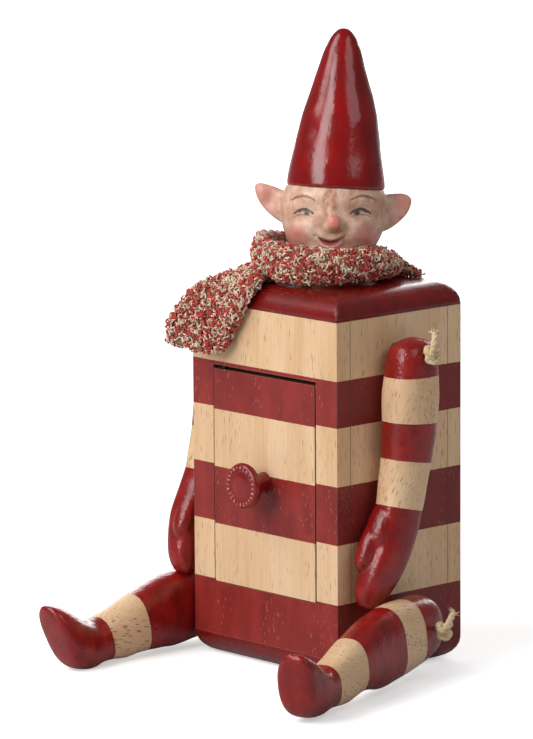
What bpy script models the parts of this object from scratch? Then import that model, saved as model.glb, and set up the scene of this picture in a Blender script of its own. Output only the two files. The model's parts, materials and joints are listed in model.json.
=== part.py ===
"""Wooden jack in the box: a striped box body with a hinged front door, a sprung elf head that
rides on a turned neck post through the lid, and carved arms and legs hung on knotted cords.

Frame: metres, +Z up, origin at the middle of the box's underside, door facing -Y.
"left" and "right" are the left (-X) and right (+X) sides seen when looking at the door.
"""
import math

import bmesh
import bpy
from mathutils import Matrix, Vector

MM = 0.001  # every dimension below is in millimetres

# ---------------------------------------------------------------- driving dimensions
BOX_W, BOX_D, BOX_H = 92.5, 75.0, 169.0
BOARD = 8.0                 # thickness of the four upright boards
LID_T = BASE_T = 10.0       # thickness of lid and base boards
EDGE_R = 9.7                # roundover along the lid's and the base's outer edges
GLUE = 0.1                  # glue line between boards
GAP = 0.3                   # room between two pieces that rest on or sit in each other
SIDES = (("left", -1), ("right", 1))

FRONT_Y = -BOX_D / 2
INNER_X = BOX_W / 2 - BOARD
INNER_Y = BOX_D / 2 - BOARD
LID_UNDER = BOX_H - LID_T

# doorway and door
DOORWAY_W, DOORWAY_LOW, DOORWAY_HIGH = 66.0, 33.9, 131.6
DOOR_HINGE_GAP, DOOR_FREE_GAP, DOOR_TOP_GAP = 0.5, 0.9, 1.7
DOOR_LEFT = -DOORWAY_W / 2 + DOOR_HINGE_GAP
DOOR_RIGHT = DOORWAY_W / 2 - DOOR_FREE_GAP
DOOR_LOW, DOOR_HIGH = DOORWAY_LOW + GAP, DOORWAY_HIGH - DOOR_TOP_GAP
HINGE_X, HINGE_Y = DOOR_LEFT + 5.0, FRONT_Y + 1.9   # so far forward that the corner clears the jamb
HINGE_PIN_R, HINGE_PIN_DEPTH = 1.0, 6.5
KNOB_Z = 83.0
KNOB_SCREW_R = 1.5
MAGNET_R, MAGNET_T = 2.5, 2.5
MAGNET_Y, MAGNET_Z = FRONT_Y + BOARD / 2, 60.0

# sprung neck
POST_R, POST_LOW, POST_HIGH = 6.0, 21.7, 189.5
BUSH_R, BUSH_FLANGE_R, BUSH_FLANGE_T = 7.7, 12.0, 3.0
BUSH_BORE_R = POST_R + 0.35
HEAD_TRAVEL = 27.5
COLLAR_R, COLLAR_T = 12.0, 8.0
COLLAR_TOP = LID_UNDER - GAP - BUSH_FLANGE_T - HEAD_TRAVEL - GAP
COLLAR_LOW = COLLAR_TOP - COLLAR_T
COLLAR_PIN_R = 1.0
WASHER_T = 3.0
WASHER_LOW = COLLAR_LOW - GAP - WASHER_T
SEAT_R, SEAT_RECESS_R, SEAT_LOW, SEAT_FLOOR, SEAT_HIGH = 15.0, 10.8, BASE_T + GLUE, 15.0, 24.0
SPRING_R, SPRING_WIRE_R, SPRING_TURNS = 9.0, 0.8, 9
CATCH_R, CATCH_T = 5.0, 4.0
TIP_HEAD_R, TIP_HEAD_T, TIP_SHANK_R, TIP_SHANK_LEN = 4.5, 2.0, 1.5, 12.0

# head, hat and scarf
NECK_PIVOT = Vector((0.0, 0.0, 176.0))
HEAD_TURN = 44.0            # the face looks this far round from the door towards +X
HEAD_ROLL, HEAD_PITCH = 3.0, -7.0
HEAD_OFFSET = 2.2           # the head sits this far to one side of its post
CROWN_Z, CROWN_PEG_R, CROWN_PEG_H = 33.6, 11.7, 8.0
HAT_H, HAT_RIM_R = 69.6, 21.4
SCARF_R, SCARF_ACROSS, SCARF_LOW, SCARF_HIGH = 29.3, 6.0, 170.0, 184.6
SCARF_FULL_SIDE = 227.0     # direction, seen from above, in which the ring stands highest
SCARF_RISE, SCARF_SPREAD = 2.6, 1.4

# limbs
CORD_R, CORD_HOLE_R, KNOT_R, INNER_KNOT_R = 1.5, 1.9, 3.4, 3.6
LIMB_SIDES = 16             # facets round a limb
SHOULDER_Y = {"left": -8.8, "right": -3.5}
SHOULDER_Z = {"left": 144.0, "right": 144.5}
HIP_Y, HIP_Z = 0.0, 22.8
KNOT_STANDOFF = {"shoulder": 9.6, "hip": 11.6}   # outer face of the limb at the cord, from its middle
ARM_X = 56.9
LEG_X = 58.5
ARM_SWING = {"left": 3.0, "right": 0.0}       # forward from hanging
LEG_SPLAY = {"left": -1.0, "right": 16.5}     # outward from straight ahead
LEG_STRETCH = {"left": 1.025, "right": 1.0}    # the carved pair isn't quite equal
LEG_LIFT = {"left": 0.0, "right": 0.9}        # heel up from level

# Carved limbs: sections from the body end to the far end.
# arm: (down, forward, half width fore and aft, half thickness side to side)
ARM_SECTIONS = ((-4.9, 1.2, 3.0, 3.0), (-3.4, 0.9, 7.6, 6.6), (0.8, 0.2, 10.4, 9.2),
                (12.0, -0.3, 12.0, 10.0), (19.5, 0.2, 13.1, 10.0), (32.0, 0.9, 12.5, 9.8),
                (48.5, 3.2, 11.5, 9.2), (68.0, 7.2, 10.6, 8.5), (78.5, 10.2, 10.2, 8.3),
                (88.5, 14.2, 9.8, 8.2), (96.5, 17.6, 9.0, 7.9), (103.0, 20.2, 7.4, 7.0),
                (107.0, 21.8, 4.6, 4.8), (108.4, 22.4, 2.0, 2.2))
# thumb: (down, forward, half width); it lies against the hand's inner side
THUMB_SECTIONS = ((72.0, 14.6, 3.2), (78.5, 19.6, 4.8), (85.0, 23.0, 5.2), (90.5, 24.6, 4.4),
                  (93.9, 25.2, 2.2))
THUMB_INSET = 4.2
# leg: (along, centre height above the hip, half height, half thickness side to side, lean, turn-out);
# lean tips the top of a section towards the toe and turn-out tips it away from the box, in degrees
LEG_SECTIONS = ((-10.2, -2.0, 3.2, 3.0, 0, 0), (-8.6, -1.8, 8.2, 6.2, 0, 0),
                (-4.5, -1.2, 12.2, 9.0, 0, 0), (2.0, -1.0, 14.4, 10.0, 0, 0),
                (16.0, -2.1, 15.9, 10.3, 0, 0), (27.5, -2.6, 16.4, 10.2, 0, 0),
                (41.0, -4.6, 15.4, 9.8, 0, 0), (57.0, -7.8, 13.2, 9.2, 2, 1),
                (71.0, -10.8, 10.8, 8.6, 5, 2), (80.0, -12.1, 9.8, 8.4, 9, 4),
                (87.0, -11.7, 10.6, 8.6, 13, 6), (93.0, -10.3, 13.2, 9.2, 17, 7),
                (99.5, -8.6, 15.0, 9.4, 20, 7), (105.0, -7.9, 13.8, 8.4, 20, 7),
                (107.8, -7.7, 8.8, 5.4, 20, 7))

RED = (0.24, 0.030, 0.026, 1.0)
GLOSS_RED = (0.28, 0.016, 0.014, 1.0)
BEECH = (0.70, 0.50, 0.31, 1.0)
STEEL = (0.60, 0.61, 0.62, 1.0)
BRASS = (0.70, 0.52, 0.24, 1.0)
SKIN = (0.60, 0.36, 0.25, 1.0)
WOOL = (0.50, 0.17, 0.12, 1.0)
CORD = (0.66, 0.52, 0.32, 1.0)


# ---------------------------------------------------------------- helpers
def clear_scene():
    for thing in list(bpy.data.objects):
        bpy.data.objects.remove(thing, do_unlink=True)


def new_collection(name):
    collection = bpy.data.collections.new(name)
    bpy.context.scene.collection.children.link(collection)
    return collection


def make_material(name, colour, roughness, metallic=0.0):
    material = bpy.data.materials.new(name)
    material.use_nodes = True
    shader = material.node_tree.nodes["Principled BSDF"]
    shader.inputs["Base Color"].default_value = colour
    shader.inputs["Roughness"].default_value = roughness
    shader.inputs["Metallic"].default_value = metallic
    return material


def add_object(name, data, collection, look=None):
    thing = bpy.data.objects.new(name, data)
    collection.objects.link(thing)
    if look:
        data.materials.append(make_material(name, *look))
    return thing


def mesh_object(name, solid, look=None, collection=None):
    """Turn a bmesh drawn in millimetres into a part, or into a cutter when it has no look."""
    bmesh.ops.recalc_face_normals(solid, faces=solid.faces)
    solid.transform(Matrix.Scale(MM, 4))
    mesh = bpy.data.meshes.new(name)
    solid.to_mesh(mesh)
    solid.free()
    thing = add_object(name, mesh, collection or (PARTS if look else CUTTERS), look)
    if not look:
        thing.hide_render = True
        thing.display_type = "WIRE"
    return thing


def smooth(thing, angle=35.0):
    thing.data.shade_smooth()
    thing.data.set_sharp_from_angle(angle=math.radians(angle))
    return thing


def block_solid(low, high):
    low, high = Vector(low), Vector(high)
    solid = bmesh.new()
    size = Matrix.Diagonal((*(high - low), 1.0))
    bmesh.ops.create_cube(solid, size=1.0, matrix=Matrix.Translation((low + high) / 2) @ size)
    return solid


def block(name, low, high, look=None):
    return mesh_object(name, block_solid(low, high), look)


def rod(name, start, end, radius, look=None, sides=20):
    """A cylinder from start to end."""
    start, end = Vector(start), Vector(end)
    solid = bmesh.new()
    turn = (end - start).to_track_quat("Z", "Y").to_matrix().to_4x4()
    bmesh.ops.create_cone(solid, cap_ends=True, segments=sides, radius1=radius,
                          radius2=radius, depth=(end - start).length,
                          matrix=Matrix.Translation((start + end) / 2) @ turn)
    thing = mesh_object(name, solid, look)
    return smooth(thing) if look else thing


def ball(name, centre, radius, squash=(1.0, 1.0, 1.0)):
    solid = bmesh.new()
    shape = Matrix.Translation(Vector(centre)) @ Matrix.Diagonal((*squash, 1.0))
    bmesh.ops.create_uvsphere(solid, u_segments=12, v_segments=8, radius=radius, matrix=shape)
    return mesh_object(name, solid)


def turned(name, profile, look, steps=28):
    """A turned piece: (radius, height) points, down the outer side and back up the bore."""
    mesh = bpy.data.meshes.new(name)
    points = [(radius * MM, 0.0, height * MM) for radius, height in profile]
    mesh.from_pydata(points, [(i, i + 1) for i in range(len(points) - 1)], [])
    thing = add_object(name, mesh, PARTS, look)
    screw = thing.modifiers.new("turn", "SCREW")
    screw.steps = screw.render_steps = steps
    screw.use_merge_vertices = True
    screw.merge_threshold = 0.00001
    return thing


def arc(centre_r, centre_z, radius, start, end, count):
    """Points of a round stretch of a profile, by angle in degrees from straight out."""
    angles = [math.radians(start + (end - start) * i / count) for i in range(count + 1)]
    return [(centre_r + radius * math.cos(a), centre_z + radius * math.sin(a)) for a in angles]


def tube_profile(inner, outer, low, high):
    return [(outer, high), (outer, low), (inner, low), (inner, high), (outer, high)]


def section(centre, across, up, squareness=2.6, count=18):
    """A closed superellipse ring; squareness 2 is an ellipse and more is boxier."""
    ring = []
    for i in range(count):
        angle = 2 * math.pi * (i + 0.5) / count
        c, s = math.cos(angle), math.sin(angle)
        c = math.copysign(abs(c) ** (2 / squareness), c)
        s = math.copysign(abs(s) ** (2 / squareness), s)
        ring.append(centre + across * c + up * s)
    return ring


def loft_solid(rings, closed=False):
    """Skin a row of rings with quads; the ends are capped unless the row closes on itself."""
    solid = bmesh.new()
    rows = [[solid.verts.new(point) for point in ring] for ring in rings]
    count = len(rows[0])
    pairs = list(zip(rows, rows[1:])) + ([(rows[-1], rows[0])] if closed else [])
    for row, following in pairs:
        for i in range(count):
            j = (i + 1) % count
            solid.faces.new((row[i], row[j], following[j], following[i]))
    if not closed:
        solid.faces.new(reversed(rows[0]))
        solid.faces.new(rows[-1])
    return solid


def spline(stations, steps):
    """Catmull-Rom through stations (tuples of numbers), with steps points to each span."""
    result = []
    last = len(stations) - 1
    for k in range(last):
        before, here = stations[max(k - 1, 0)], stations[k]
        there, after = stations[k + 1], stations[min(k + 2, last)]
        for i in range(steps):
            t = i / steps
            result.append(tuple(
                0.5 * (2 * b + (c - a) * t + (2 * a - 5 * b + 4 * c - d) * t * t
                       + (3 * b - a - 3 * c + d) * t ** 3)
                for a, b, c, d in zip(before, here, there, after)))
    return result + [stations[-1]]


def boolean(thing, tool, operation="DIFFERENCE"):
    modifier = thing.modifiers.new(tool.name, "BOOLEAN")
    modifier.operation = operation
    modifier.solver = "EXACT"
    modifier.object = tool
    return thing


def drill(thing, label, start, end, radius, sides=20):
    return boolean(thing, rod(f"{thing.name}_{label}", start, end, radius, sides=sides))


def pivot(name, location, rotation=(0.0, 0.0, 0.0)):
    """An empty on a joint axis: location in millimetres, rotation in degrees."""
    empty = bpy.data.objects.new(name, None)
    empty.location = Vector(location) * MM
    empty.rotation_euler = [math.radians(angle) for angle in rotation]
    empty.empty_display_size = 0.01
    PARTS.objects.link(empty)
    return empty


def hang_on(empty, *things):
    """Parent things to a joint's empty without moving them."""
    bpy.context.view_layer.update()
    for thing in things:
        world = thing.matrix_world.copy()
        thing.parent = empty
        thing.matrix_world = world


# ---------------------------------------------------------------- box
WOOD = (BEECH, 0.55)
PAINT = (RED, 0.45)


def rounded_board(name, low, high, top):
    """A lid or base board whose outer edges are rounded over, with mitred corners."""
    solid = block_solid(low, high)
    level = high[2] if top else low[2]
    edges = [edge for edge in solid.edges
             if all(abs(vert.co.z - level) < 0.01 for vert in edge.verts)]
    bmesh.ops.bevel(solid, geom=edges, offset=EDGE_R, segments=6, profile=0.5, affect="EDGES")
    return smooth(mesh_object(name, solid, PAINT), 30.0)


def make_box():
    half_w, half_d = BOX_W / 2, BOX_D / 2
    low, high = BASE_T + GLUE, LID_UNDER - GLUE
    lid = rounded_board("lid_board", (-half_w, -half_d, LID_UNDER), (half_w, half_d, BOX_H), True)
    drill(lid, "bush_hole", (0, 0, LID_UNDER - 1), (0, 0, BOX_H + 1), BUSH_R + GAP, 32)
    rounded_board("base_board", (-half_w, -half_d, 0), (half_w, half_d, BASE_T), False)

    front = block("front_board", (-half_w, -half_d, low), (half_w, -INNER_Y, high), WOOD)
    doorway_low = (-DOORWAY_W / 2, -half_d - 1, DOORWAY_LOW)
    doorway_high = (DOORWAY_W / 2, -INNER_Y + 1, DOORWAY_HIGH)
    boolean(front, block("front_board_doorway", doorway_low, doorway_high))
    for label, mouth, sign in (("top_pin_hole", DOORWAY_HIGH, 1), ("bottom_pin_hole", DOORWAY_LOW, -1)):
        drill(front, label, (HINGE_X, HINGE_Y, mouth - sign),
              (HINGE_X, HINGE_Y, mouth + sign * HINGE_PIN_DEPTH), HINGE_PIN_R + GAP, 16)
    drill(front, "magnet_hole", (DOORWAY_W / 2 - 1, MAGNET_Y, MAGNET_Z),
          (DOORWAY_W / 2 + MAGNET_T + 2 * GAP, MAGNET_Y, MAGNET_Z), MAGNET_R + GAP)

    block("back_board", (-half_w, INNER_Y, low), (half_w, half_d, high), WOOD)
    for side, sign in SIDES:
        inner, outer = sorted((sign * INNER_X, sign * half_w))
        board = block(f"{side}_side_board", (inner, -INNER_Y + GLUE, low),
                      (outer, INNER_Y - GLUE, high), WOOD)
        for label, y, z in (("shoulder_hole", SHOULDER_Y[side], SHOULDER_Z[side]),
                            ("hip_hole", HIP_Y, HIP_Z)):
            drill(board, label, (inner - 1, y, z), (outer + 1, y, z), CORD_HOLE_R, 12)
    block("door_stop", (DOOR_RIGHT - 2.5, -INNER_Y + GAP, 44), (INNER_X - GAP, -INNER_Y + 5.3, 122), WOOD)


# ---------------------------------------------------------------- door
def make_door():
    door = block("door_panel", (DOOR_LEFT, FRONT_Y, DOOR_LOW), (DOOR_RIGHT, -INNER_Y, DOOR_HIGH), WOOD)
    pin_reach = HINGE_PIN_DEPTH - GAP
    pins = (("upper_hinge_pin", DOOR_HIGH, 1, DOORWAY_HIGH), ("lower_hinge_pin", DOOR_LOW, -1, DOORWAY_LOW))
    for name, edge, sign, mouth in pins:
        drill(door, name + "_hole", (HINGE_X, HINGE_Y, edge + sign),
              (HINGE_X, HINGE_Y, edge - sign * HINGE_PIN_DEPTH), HINGE_PIN_R + GAP, 16)
        rod(name, (HINGE_X, HINGE_Y, edge - sign * pin_reach),
            (HINGE_X, HINGE_Y, mouth + sign * pin_reach), HINGE_PIN_R, (BRASS, 0.3, 1.0), 16)
    drill(door, "magnet_hole", (DOOR_RIGHT + 1, MAGNET_Y, MAGNET_Z),
          (DOOR_RIGHT - MAGNET_T - 2 * GAP, MAGNET_Y, MAGNET_Z), MAGNET_R + GAP)
    drill(door, "knob_hole", (0, FRONT_Y - 1, KNOB_Z), (0, -INNER_Y + 1, KNOB_Z), KNOB_SCREW_R + GAP)
    door_magnet = rod("door_magnet", (DOOR_RIGHT - GAP - MAGNET_T, MAGNET_Y, MAGNET_Z),
                      (DOOR_RIGHT - GAP, MAGNET_Y, MAGNET_Z), MAGNET_R, (STEEL, 0.25, 1.0))
    rod("frame_magnet", (DOORWAY_W / 2 + GAP, MAGNET_Y, MAGNET_Z),
        (DOORWAY_W / 2 + GAP + MAGNET_T, MAGNET_Y, MAGNET_Z), MAGNET_R, (STEEL, 0.25, 1.0))

    bore = KNOB_SCREW_R + GAP
    profile = ([(0, 14.6), (6.4, 14.1), (7.4, 13.5), (8.2, 13.8)]
               + arc(8.4, 12.0, 1.9, 75, -75, 4)
               + [(4.2, 8.0), (3.5, 5.0), (4.6, 0.1),
                  (bore, 0.1), (bore, 9.2), (0, 9.2)])
    knob = turned("door_knob", profile, (RED, 0.3), 24)
    knob.rotation_euler = (math.pi / 2, 0, 0)
    knob.location = Vector((0, FRONT_Y, KNOB_Z)) * MM
    screw = turned("knob_screw", [(0, 1.9), (2.0, 1.7), (3.5, 0.8), (3.5, 0), (KNOB_SCREW_R, 0),
                                  (KNOB_SCREW_R, -15.6), (0, -15.6)], (STEEL, 0.3, 1.0), 20)
    screw.rotation_euler = (-math.pi / 2, 0, 0)
    screw.location = Vector((0, -INNER_Y + GAP, KNOB_Z)) * MM
    hinge = pivot("door_hinge_axis", (HINGE_X, HINGE_Y, DOOR_LOW))
    hang_on(hinge, door, door_magnet, knob, screw)


# ---------------------------------------------------------------- sprung neck
def spring_path():
    """A closed-ended compression coil between the seat's floor and the washer."""
    low, high = SEAT_FLOOR + GAP + SPRING_WIRE_R, WASHER_LOW - GAP - SPRING_WIRE_R
    per_turn = 12
    total = SPRING_TURNS * per_turn
    closed_pitch = 2 * SPRING_WIRE_R + 0.3
    open_pitch = (high - low - 2 * closed_pitch) / (SPRING_TURNS - 2)
    z = low
    points = []
    for i in range(total + 1):
        angle = 2 * math.pi * i / per_turn
        points.append((SPRING_R * math.cos(angle), SPRING_R * math.sin(angle), z))
        at_end = i < per_turn or i >= total - per_turn
        z += (closed_pitch if at_end else open_pitch) / per_turn
    return points


def make_spring():
    curve = bpy.data.curves.new("spring", "CURVE")
    curve.dimensions = "3D"
    curve.bevel_depth = SPRING_WIRE_R * MM
    curve.bevel_resolution = 1
    curve.use_fill_caps = True
    path = spring_path()
    line = curve.splines.new("POLY")
    line.points.add(len(path) - 1)
    for point, place in zip(line.points, path):
        point.co = (*(Vector(place) * MM), 1.0)
    add_object("spring", curve, PARTS, (STEEL, 0.3, 1.0))


def make_neck():
    bush_high, bush_low = BOX_H - GAP, LID_UNDER - GAP - BUSH_FLANGE_T
    turned("lid_bush", [(BUSH_R, bush_high), (BUSH_R, LID_UNDER - GAP),
                        (BUSH_FLANGE_R, LID_UNDER - GAP), (BUSH_FLANGE_R, bush_low),
                        (BUSH_BORE_R, bush_low), (BUSH_BORE_R, bush_high), (BUSH_R, bush_high)],
           (BRASS, 0.35, 1.0))
    turned("spring_seat", [(SEAT_RECESS_R, SEAT_HIGH), (SEAT_R - 1, SEAT_HIGH), (SEAT_R, SEAT_HIGH - 1),
                           (SEAT_R, SEAT_LOW), (0, SEAT_LOW), (0, SEAT_FLOOR),
                           (SEAT_RECESS_R, SEAT_FLOOR), (SEAT_RECESS_R, SEAT_HIGH)], WOOD)
    magnet_low = SEAT_FLOOR + GLUE
    rod("catch_magnet", (0, 0, magnet_low), (0, 0, magnet_low + CATCH_T), CATCH_R, (STEEL, 0.25, 1.0))
    make_spring()

    washer = turned("spring_washer", tube_profile(POST_R + 0.5, COLLAR_R - 1, WASHER_LOW,
                                                  WASHER_LOW + WASHER_T), (BRASS, 0.35, 1.0))
    hang_on(pivot("head_slide_axis", (0, 0, WASHER_LOW)), washer)

    post = rod("neck_post", (0, 0, POST_LOW), (0, 0, POST_HIGH), POST_R, WOOD, 24)
    drill(post, "screw_hole", (0, 0, POST_LOW - 1), (0, 0, POST_LOW + TIP_SHANK_LEN + 1),
          TIP_SHANK_R + GAP, 16)
    collar = turned("stop_collar", tube_profile(POST_R + GAP, COLLAR_R, COLLAR_LOW, COLLAR_TOP), WOOD)
    pin_z = (COLLAR_LOW + COLLAR_TOP) / 2
    for thing in (post, collar):
        drill(thing, "pin_hole", (-COLLAR_R - 1, 0, pin_z), (COLLAR_R + 1, 0, pin_z),
              COLLAR_PIN_R + GAP, 12)
    pin = rod("collar_pin", (-COLLAR_R + GAP, 0, pin_z), (COLLAR_R - GAP, 0, pin_z), COLLAR_PIN_R,
              (STEEL, 0.3, 1.0), 12)
    head_top, head_low = POST_LOW - GAP, POST_LOW - GAP - TIP_HEAD_T
    screw = turned("catch_screw", [(0, POST_LOW + TIP_SHANK_LEN), (TIP_SHANK_R, POST_LOW + TIP_SHANK_LEN - 2),
                                   (TIP_SHANK_R, head_top), (TIP_HEAD_R, head_top),
                                   (TIP_HEAD_R, head_low), (0, head_low)], (STEEL, 0.3, 1.0), 20)
    return [post, collar, pin, screw]


# ---------------------------------------------------------------- head and hat
def head_matrix():
    """Head space (face towards -Y, origin where the neck meets the head) to the box's frame."""
    turn = Matrix.Rotation(math.radians(HEAD_TURN), 4, "Z")
    roll = Matrix.Rotation(math.radians(HEAD_ROLL), 4, "Y")
    pitch = Matrix.Rotation(math.radians(HEAD_PITCH), 4, "X")
    return Matrix.Translation(NECK_PIVOT) @ turn @ roll @ pitch @ Matrix.Translation((HEAD_OFFSET, 0, 0))


def head_solid():
    """Rings of (height, half width, depth to the face, depth to the back of the head)."""
    levels = ((0.0, 6.5, 6.5, 6.5), (1.2, 11.0, 12.0, 11.0), (3.6, 15.2, 16.4, 15.0),
              (7.0, 18.4, 18.6, 18.0), (14.0, 21.6, 21.0, 21.4), (21.0, 23.4, 22.4, 23.0),
              (28.0, 22.8, 22.0, 23.0), (CROWN_Z, 21.2, 20.8, 21.2))
    shoulder = (CROWN_Z, CROWN_PEG_R, CROWN_PEG_R, CROWN_PEG_R)
    peg_top = (CROWN_Z + CROWN_PEG_H, CROWN_PEG_R - 0.6, CROWN_PEG_R - 0.6, CROWN_PEG_R - 0.6)
    rings = []
    for height, width, front, back in spline(levels, 2) + [shoulder, peg_top]:
        ring = []
        for i in range(24):
            angle = 2 * math.pi * (i + 0.5) / 24
            depth = back if math.sin(angle) > 0 else front
            ring.append(Vector((width * math.cos(angle), depth * math.sin(angle), height)))
        rings.append(ring)
    return loft_solid(rings)


def ear(sign):
    """A pointed ear: a thin section that narrows outward, upward and a little back."""
    root, tip = Vector((19.0, 1.0, 21.5)), Vector((34.6, 3.5, 30.4))
    rings = []
    for t, half_height, half_thick in ((0.0, 8.6, 2.6), (0.35, 7.8, 2.4), (0.7, 6.0, 2.0),
                                       (0.92, 3.0, 1.4), (1.0, 1.0, 0.7)):
        centre = root.lerp(tip, t)
        tilt = Vector((-0.35, 0.15, 0.92)).normalized()
        rings.append([Vector((sign * p.x, p.y, p.z)) for p in
                      section(centre, tilt * half_height, Vector((0.3, 1, 0)).normalized() * half_thick,
                              2.0, 12)])
    return loft_solid(rings)


def make_head(neck):
    place = head_matrix()
    look = (SKIN, 0.6)
    solid = head_solid()
    solid.transform(place)
    head = smooth(mesh_object("head", solid, look), 50.0)
    for side, sign in SIDES:
        solid = ear(sign)
        solid.transform(place)
        boolean(head, mesh_object(f"{side}_ear", solid), "UNION")
    drill(head, "post_hole", (0, 0, NECK_PIVOT.z - 8), (0, 0, POST_HIGH + GAP), POST_R + GAP, 28)

    socket_r, socket_h = CROWN_PEG_R + GAP, CROWN_PEG_H + GAP
    side = [(2.6, 69.0), (5.4, 65.6), (7.8, 61.0), (10.2, 53.4), (12.5, 45.6), (14.8, 37.8),
            (16.7, 29.8), (18.7, 18.2), (20.2, 10.4), (21.4, 3.0)]
    profile = [(0, HAT_H)] + side + [(HAT_RIM_R, 0.8), (HAT_RIM_R, 0), (socket_r, 0),
                                     (socket_r, socket_h), (0, socket_h)]
    hat = turned("hat", profile, (GLOSS_RED, 0.15), 32)
    seat = place @ Matrix.Translation((0, 0, CROWN_Z + GAP))
    hat.matrix_world = Matrix.Translation(seat.to_translation() * MM) @ seat.to_quaternion().to_matrix().to_4x4()
    hang_on(pivot("head_turn_axis", NECK_PIVOT, (0, 0, HEAD_TURN)), head, hat, *neck)


# ---------------------------------------------------------------- scarf
# hanging end: (x, y, z, half width as x, y, z, half thickness)
SCARF_END = ((-13.0, -23.5, 177.6, -8.0, 4.0, 4.6, 4.6), (-14.6, -32.6, 173.6, -11.0, 3.4, 3.4, 3.8),
             (-18.4, -43.2, 164.8, -12.2, -1.6, 5.8, 3.4), (-27.4, -47.0, 154.0, -12.7, -5.4, 4.6, 3.2),
             (-31.8, -49.0, 145.0, -12.6, -7.0, 2.6, 3.2), (-32.6, -49.4, 139.6, -12.2, -7.2, 1.8, 2.8))


def make_scarf():
    """A soft ring round the neck with one end hanging over the lid's front edge."""
    rings = []
    for i in range(28):
        angle = 2 * math.pi * i / 28
        fullness = math.cos(angle - math.radians(SCARF_FULL_SIDE))
        high = SCARF_HIGH + SCARF_RISE * fullness
        across = SCARF_ACROSS - SCARF_SPREAD * fullness / 2
        outward = Vector((math.cos(angle), math.sin(angle), 0))
        centre = outward * (SCARF_R - SCARF_SPREAD * fullness / 2) + Vector((0, 0, (SCARF_LOW + high) / 2))
        rings.append(section(centre, outward * across, Vector((0, 0, (high - SCARF_LOW) / 2)), 2.4, 12))
    scarf = smooth(mesh_object("scarf", loft_solid(rings, closed=True), (WOOL, 0.9)), 50.0)

    path = spline(SCARF_END, 3)
    rings = []
    for k, (x, y, z, wide_x, wide_y, wide_z, thick) in enumerate(path):
        before, after = path[max(k - 1, 0)], path[min(k + 1, len(path) - 1)]
        along = Vector(after[:3]) - Vector(before[:3])
        across = Vector((wide_x, wide_y, wide_z))
        rings.append(section(Vector((x, y, z)), across, along.cross(across).normalized() * thick, 2.4, 12))
    boolean(scarf, mesh_object("scarf_end", loft_solid(rings)), "UNION")


# ---------------------------------------------------------------- limbs
def swept_rings(path, count, squareness=2.6):
    """Rings square to a path of (along, offset, half across, half side to side).

    The limb runs along -Z with its offset towards -Y; the side-to-side direction is X.
    """
    rings = []
    for k, (along, offset, half_across, half_side) in enumerate(path):
        before, after = path[max(k - 1, 0)], path[min(k + 1, len(path) - 1)]
        run = Vector((0, before[1] - after[1], before[0] - after[0])).normalized()
        across = run.cross(Vector((1, 0, 0)))
        rings.append(section(Vector((0, -offset, -along)), across * half_across,
                             Vector((half_side, 0, 0)), squareness, count))
    return rings


def make_arm(side, sign):
    place = (Matrix.Translation((sign * ARM_X, SHOULDER_Y[side], SHOULDER_Z[side]))
             @ Matrix.Rotation(math.radians(-ARM_SWING[side]), 4, "X"))
    solid = loft_solid(swept_rings(ARM_SECTIONS, LIMB_SIDES))
    solid.transform(place)
    arm = smooth(mesh_object(f"{side}_arm", solid, PAINT), 60.0)
    thumb = [(down, forward, half, half * 1.05) for down, forward, half in THUMB_SECTIONS]
    solid = loft_solid(swept_rings(thumb, 10, 2.0))
    solid.transform(place @ Matrix.Translation((-sign * THUMB_INSET, 0, 0)))
    boolean(arm, mesh_object(f"{side}_thumb", solid), "UNION")
    return arm


def make_leg(side, sign):
    rings = []
    for along, height, half_height, half_side, lean, turn_out in LEG_SECTIONS:
        upright = Vector((sign * math.sin(math.radians(turn_out)), -math.sin(math.radians(lean)),
                          math.cos(math.radians(lean))))
        rings.append(section(Vector((0, -along * LEG_STRETCH[side], height)),
                             Vector((half_side, 0, 0)), upright * half_height, 2.6, LIMB_SIDES))
    solid = loft_solid(rings)
    solid.transform(Matrix.Translation((sign * LEG_X, HIP_Y, HIP_Z))
                    @ Matrix.Rotation(math.radians(sign * LEG_SPLAY[side]), 4, "Z")
                    @ Matrix.Rotation(math.radians(-LEG_LIFT[side]), 4, "X"))
    return smooth(mesh_object(f"{side}_leg", solid, PAINT), 60.0)


def make_cord(name, sign, y, z, outer_face, tail):
    """A cord through side board and limb, with a stopper knot inside and a knot and tail outside."""
    inside = sign * (INNER_X - GAP - INNER_KNOT_R)
    outside = sign * (outer_face + KNOT_R)
    cord = rod(name, (inside, y, z), (outside, y, z), CORD_R, (CORD, 0.8), 10)
    boolean(cord, ball(f"{name}_inner_knot", (inside, y, z), INNER_KNOT_R), "UNION")
    boolean(cord, ball(f"{name}_outer_knot", (outside, y, z), KNOT_R, (0.9, 1.1, 1.15)), "UNION")
    foot = Vector((outside, y, z))
    boolean(cord, rod(f"{name}_tail", foot, foot + Vector(tail), CORD_R, sides=10), "UNION")


def make_limbs():
    for side, sign in SIDES:
        arm, leg = make_arm(side, sign), make_leg(side, sign)
        shoulder = (arm, ARM_X, SHOULDER_Y[side], SHOULDER_Z[side], "shoulder", (0, 2.0, 11.5))
        hip = (leg, LEG_X, HIP_Y, HIP_Z, "hip", (0, 6.5, 8.0))
        for limb, x, y, z, joint, tail in (shoulder, hip):
            drill(limb, "cord_hole", (sign * (x - 25), y, z), (sign * (x + 25), y, z), CORD_HOLE_R, 12)
            hang_on(pivot(f"{side}_{joint}_axis", (sign * x, y, z)), limb)
            make_cord(f"{side}_{joint}_cord", sign, y, z, x + KNOT_STANDOFF[joint], tail)


clear_scene()
PARTS = new_collection("jack_in_the_box")
CUTTERS = new_collection("cutters")
make_box()
make_door()
make_head(make_neck())
make_scarf()
make_limbs()
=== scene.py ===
"""Looks of the wooden jack in the box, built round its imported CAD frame.

Lengths are in millimetres and in the frame's axes: +Z up, -Y the door's side, +X the right-hand side.
"left" and "right" are the sides seen when looking at the door. A solid is a pair: points and faces.
"""
import json
import math

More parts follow.
